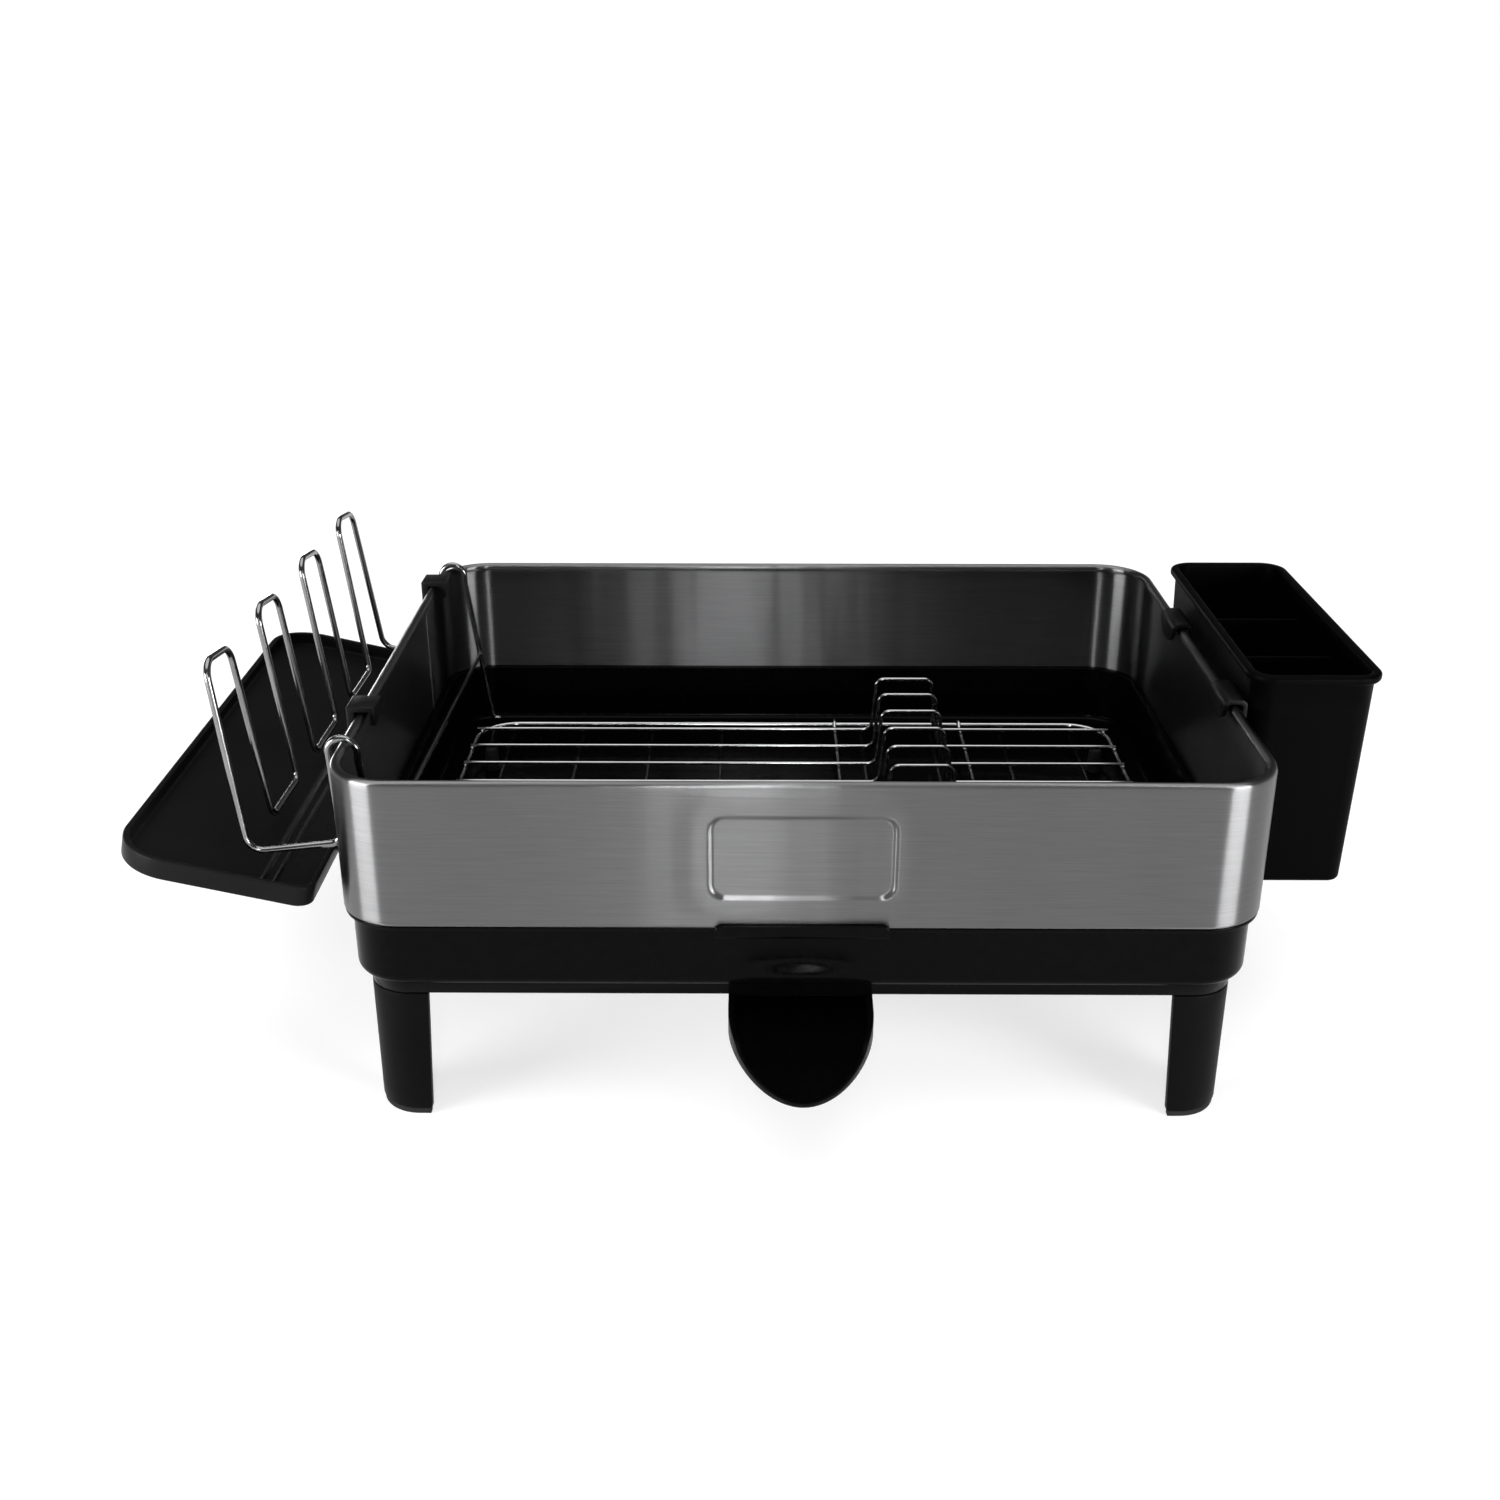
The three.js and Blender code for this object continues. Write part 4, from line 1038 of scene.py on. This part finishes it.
def holder_profile(bottom, top):
    """From under the floor, up the drafted outside, over the rim and down the inside."""
    overhang, wall, rim = HOLDER["overhang"], HOLDER["wall"], HOLDER["rim"]

    def draw(z):
        return HOLDER["taper"] * (top - z) / (top - bottom)

    base, fillet, round_edge = 2.4 * MM, 2.5 * MM, 1.7 * MM
    outside = -overhang + round_edge
    floor = bottom + wall
    profile = [(draw(bottom) + base + 0.4 * MM, bottom)]
    profile += [(u + draw(v), v) for u, v in arc(base, bottom + base, base, 270, 180, 6)]
    profile += [(draw(z), z) for z in spaced(bottom + 2 * base, top - rim - 1 * MM, 12 * MM)]
    profile += [(-0.4 * MM, top - rim - 0.2 * MM), (-overhang + 1 * MM, top - rim)]
    profile += arc(outside, top - rim + round_edge, round_edge, 240, 180, 4)
    profile += arc(outside, top - round_edge, round_edge, 180, 90, 6)
    profile += arc(wall - round_edge, top - round_edge, round_edge, 90, 0, 6)
    profile += [(wall + draw(z), z) for z in spaced(top - 6 * MM, floor + fillet, 12 * MM)]
    inside = arc(wall + fillet, floor + fillet, fillet, 180, 270, 5)
    return profile + [(u + draw(v), v) for u, v in inside]


def utensil_holder():
    low, high = local_box("utensil_holder")
    cx, cy = (low.x + high.x) / 2, (low.y + high.y) / 2
    half_x = (high.x - low.x) / 2 - HOLDER["overhang"]
    half_y = (high.y - low.y) / 2 - HOLDER["overhang"]
    plan = outline(half_x, half_y, [HOLDER["corner"]] * 4, 18)
    stations = [(x + cx, y + cy, nx, ny) for x, y, nx, ny in plan]
    bm = bmesh.new()
    under, over = sweep(bm, stations, holder_profile(low.z, high.z))
    fill_floor(bm, under, over, holder_slots(cx, cy - half_y, cy + half_y))
    piece_from(bm, "utensil_cup", "utensil_holder", "holder_black", ["utensil_holder"], sharp=42)


def holder_slots(x, front, back):
    """Drain slots, three to a compartment, as plan lines."""
    half_x, half_y = HOLDER["slot_x"], HOLDER["slot_y"]
    plates = [middle_of(f"utensil_divider_{i}").y - CENTRE.y for i in (1, 2)]
    edges = [front, *plates, back]
    slots = []
    for start, end in zip(edges, edges[1:]):
        for k in (-1, 0, 1):
            y = (start + end) / 2 + k * HOLDER["slot_pitch"]
            slots.append(round_rect(half_x, half_y, half_y * ROUND_END, x, y))
    return slots


def utensil_divider(i):
    node = f"utensil_divider_{i}"
    low, high = local_box(node)
    x, wide = (low.x + high.x) / 2, (high.x - low.x) / 2
    taper, corner = 2.9 * MM, 4 * MM
    narrow = wide - taper
    points = [(x - narrow, low.z), (x + narrow, low.z)]
    points += arc(x + wide - corner, high.z - corner, corner, 0, 90, 5)
    points += arc(x - wide + corner, high.z - corner, corner, 90, 180, 5)
    depth, body = high.y - low.y, "utensil_holder"
    slab(f"utensil_plate_{i}", points, low.y, depth, "xzy", body, "holder_black", 0.7 * MM, [node])


def hook_path(low, high):
    """Up the web, over the rim and down the lip, in short steps at y 0."""
    thick = HOOK["thick"]
    web_x, lip_x, top = high.x - thick / 2, low.x + thick / 2, high.z - thick / 2
    corners = [(web_x, 0, low.z), (web_x, 0, top), (lip_x, 0, top), (lip_x, 0, HOOK["lip_bottom"])]
    bends = bent_path(corners, thick)
    path = []
    for (here, tangent), (there, _) in zip(bends, bends[1:]):
        steps = max(1, round((there - here).length / HOOK["step"]))
        path += [(here.lerp(there, k / steps), tangent) for k in range(steps)]
    return path + [bends[-1]]


def hook_cut(point, lip_x):
    """How much narrower the tongue is on each side, towards the round end of its lip."""
    if point.x >= lip_x + 0.1 * MM:
        return 0
    radius = HOOK["tongue_round"]
    short = radius - max(0, point.z - HOOK["lip_bottom"])
    if short <= 0:
        return 0
    return BLUNT * (radius - math.sqrt(max(0, radius ** 2 - short ** 2)))


def utensil_hook(i):
    """A bent tongue over the rim: web against the holder, bridge, and a round-ended lip inside."""
    node = f"utensil_hook_{i}"
    low, high = local_box(node)
    y, half = (low.y + high.y) / 2, (high.y - low.y) / 2
    lip_x = low.x + HOOK["thick"] / 2
    bm = bmesh.new()
    rings = []
    for point, tangent in hook_path(low, high):
        reach = half - hook_cut(point, lip_x)
        out = Vector((-tangent.z, 0, tangent.x)) * HOOK["thick"] / 2
        rings.append([bm.verts.new(point + Vector((0, y + side * reach, 0)) + out * face)
                      for side, face in ((-1, -1), (1, -1), (1, 1), (-1, 1))])
    skin(bm, rings)
    hook = piece_from(bm, f"utensil_clip_{i}", "utensil_holder", "clip_black", [node])
    softened(hook, 0.6 * MM, 2, angle=50)


# ---- build ----

steel_frame()
steel_seam()
drip_tray()
tray_tab()
tray_ribs()
legs()
spout()
spout_neck()
rack_hoop()
for number in range(1, 10):
    rack_divider(number)
for number in (1, 2):
    rack_cross_wire(number)
rack_welds()
for corner_name in ("back_right", "back_left", "front_left", "front_right"):
    rack_foot(corner_name)
cup_wire()
cup_bar()
side_tray()
for number in (1, 2):
    side_clip(number)
utensil_holder()
for number in (1, 2):
    utensil_divider(number)
    utensil_hook(number)

# the clip ring under the tray's floor keeps its CAD shape
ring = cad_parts["spout_clip_ring"]
ring.data.materials.clear()
ring.data.materials.append(MATERIALS["spout_black"])


# ---- studio ----


TABLE_GAP = 0.0003  # keeps the table's face clear of the rubber pads


def round_surface(name, rings, capped):
    """A stage surface round the object, given by (radius, level) rings."""
    bm = bmesh.new()
    loops = [[bm.verts.new((x, y, z)) for x, y in circle(radius, 0, 0, 64)] for radius, z in rings]
    if capped:
        bm.faces.new(loops[0])
    for inner, outer in zip(loops, loops[1:]):
        join(bm, outer, inner)
    mesh = bpy.data.meshes.new(name)
    bm.to_mesh(mesh)
    bm.free()
    mesh.shade_smooth()
    surface = new_object(name, mesh)
    return surface


def pale_surface(name, albedo, glow):
    look = Look(name, (albedo, albedo, albedo), 0.7, specular=0)
    look.vary_colour(look.noise(3, detail=3), 0.01)
    look.set("Emission Color", (1, 1, 1, 1))
    look.set("Emission Strength", glow)
    return look.material


def floor():
    """A round underlit table, 30 m in radius, that turns up at its rim."""
    rings = [(0.5, 0), (2, 0), (8, 0), (16, 0), (22, 0.35), (28, 1.3), (30, 1.9)]
    table = round_surface("floor", rings, capped=True)
    table.location.z = -TABLE_GAP
    table.data.materials.append(pale_surface("floor", 0.45, 0.64))


def backdrop():
    """A white screen behind the table's rim. It is only seen, and lights nothing."""
    screen = round_surface("backdrop", [(29.5, 1.5), (29.5, 20)], capped=False)
    screen.data.materials.append(pale_surface("backdrop", 0.1, 1))
    screen.visible_diffuse = False
    screen.visible_glossy = False
    screen.visible_transmission = False
    screen.visible_shadow = False


def softbox(name, place, aim, width, height, power):
    light = bpy.data.lights.new(name, "AREA")
    light.shape = "RECTANGLE"
    light.size = width
    light.size_y = height
    light.energy = power
    lamp = new_object(name, light)
    lamp.location = place
    lamp.rotation_euler = (Vector(aim) - Vector(place)).to_track_quat("-Z", "Y").to_euler()
    lamp.visible_camera = False


def overhead():
    """A very wide sun, straight down but for a few degrees, for soft shadows."""
    sun = bpy.data.lights.new("overhead", "SUN")
    sun.energy = 2.2
    sun.angle = math.radians(70)
    lamp = new_object("overhead", sun)
    lamp.rotation_euler = (math.radians(-4), math.radians(-3), 0)


def sky(strength):
    world = bpy.data.worlds.new("studio")
    world.use_nodes = True
    background = world.node_tree.nodes["Background"]
    background.inputs["Color"].default_value = (1, 1, 1, 1)
    background.inputs["Strength"].default_value = strength
    bpy.context.scene.world = world


def studio():
    overhead()
    left, right = (-0.2, -0.15, 0.16), (0.2, -0.15, 0.16)
    softbox("left softbox", (-1.3, -0.81, 0.3), left, width=0.8, height=0.5, power=30)
    softbox("right softbox", (1.15, -1.06, 0.3), right, width=0.7, height=0.5, power=26)
    softbox("front strip", (-0.025, -1.15, 0.65), (-0.02, 0, 0.2), width=0.1, height=0.6, power=3.6)
    softbox("back card", (-1.2, 1.6, 0.17), (-0.25, 0, 0.12), width=1, height=0.3, power=8)
    sky(0.115)


CAMERA = {"eye": Vector((-0.02, -0.8764, 0.5123)), "down": 23.43, "turn": 0.39, "lens": 40.54}


def camera():
    """Stands in front of the frame's middle and looks down at it."""
    cam = bpy.data.cameras.new("camera")
    cam.lens = CAMERA["lens"]
    cam.sensor_width = 36
    cam.clip_start = 0.01
    cam.clip_end = 200
    eye = new_object("camera", cam)
    eye.location = CENTRE + CAMERA["eye"]
    eye.rotation_euler = (math.radians(90 - CAMERA["down"]), 0, math.radians(CAMERA["turn"]))
    bpy.context.scene.camera = eye


floor()
backdrop()
studio()
camera()
bpy.context.scene.view_settings.view_transform = "Standard"
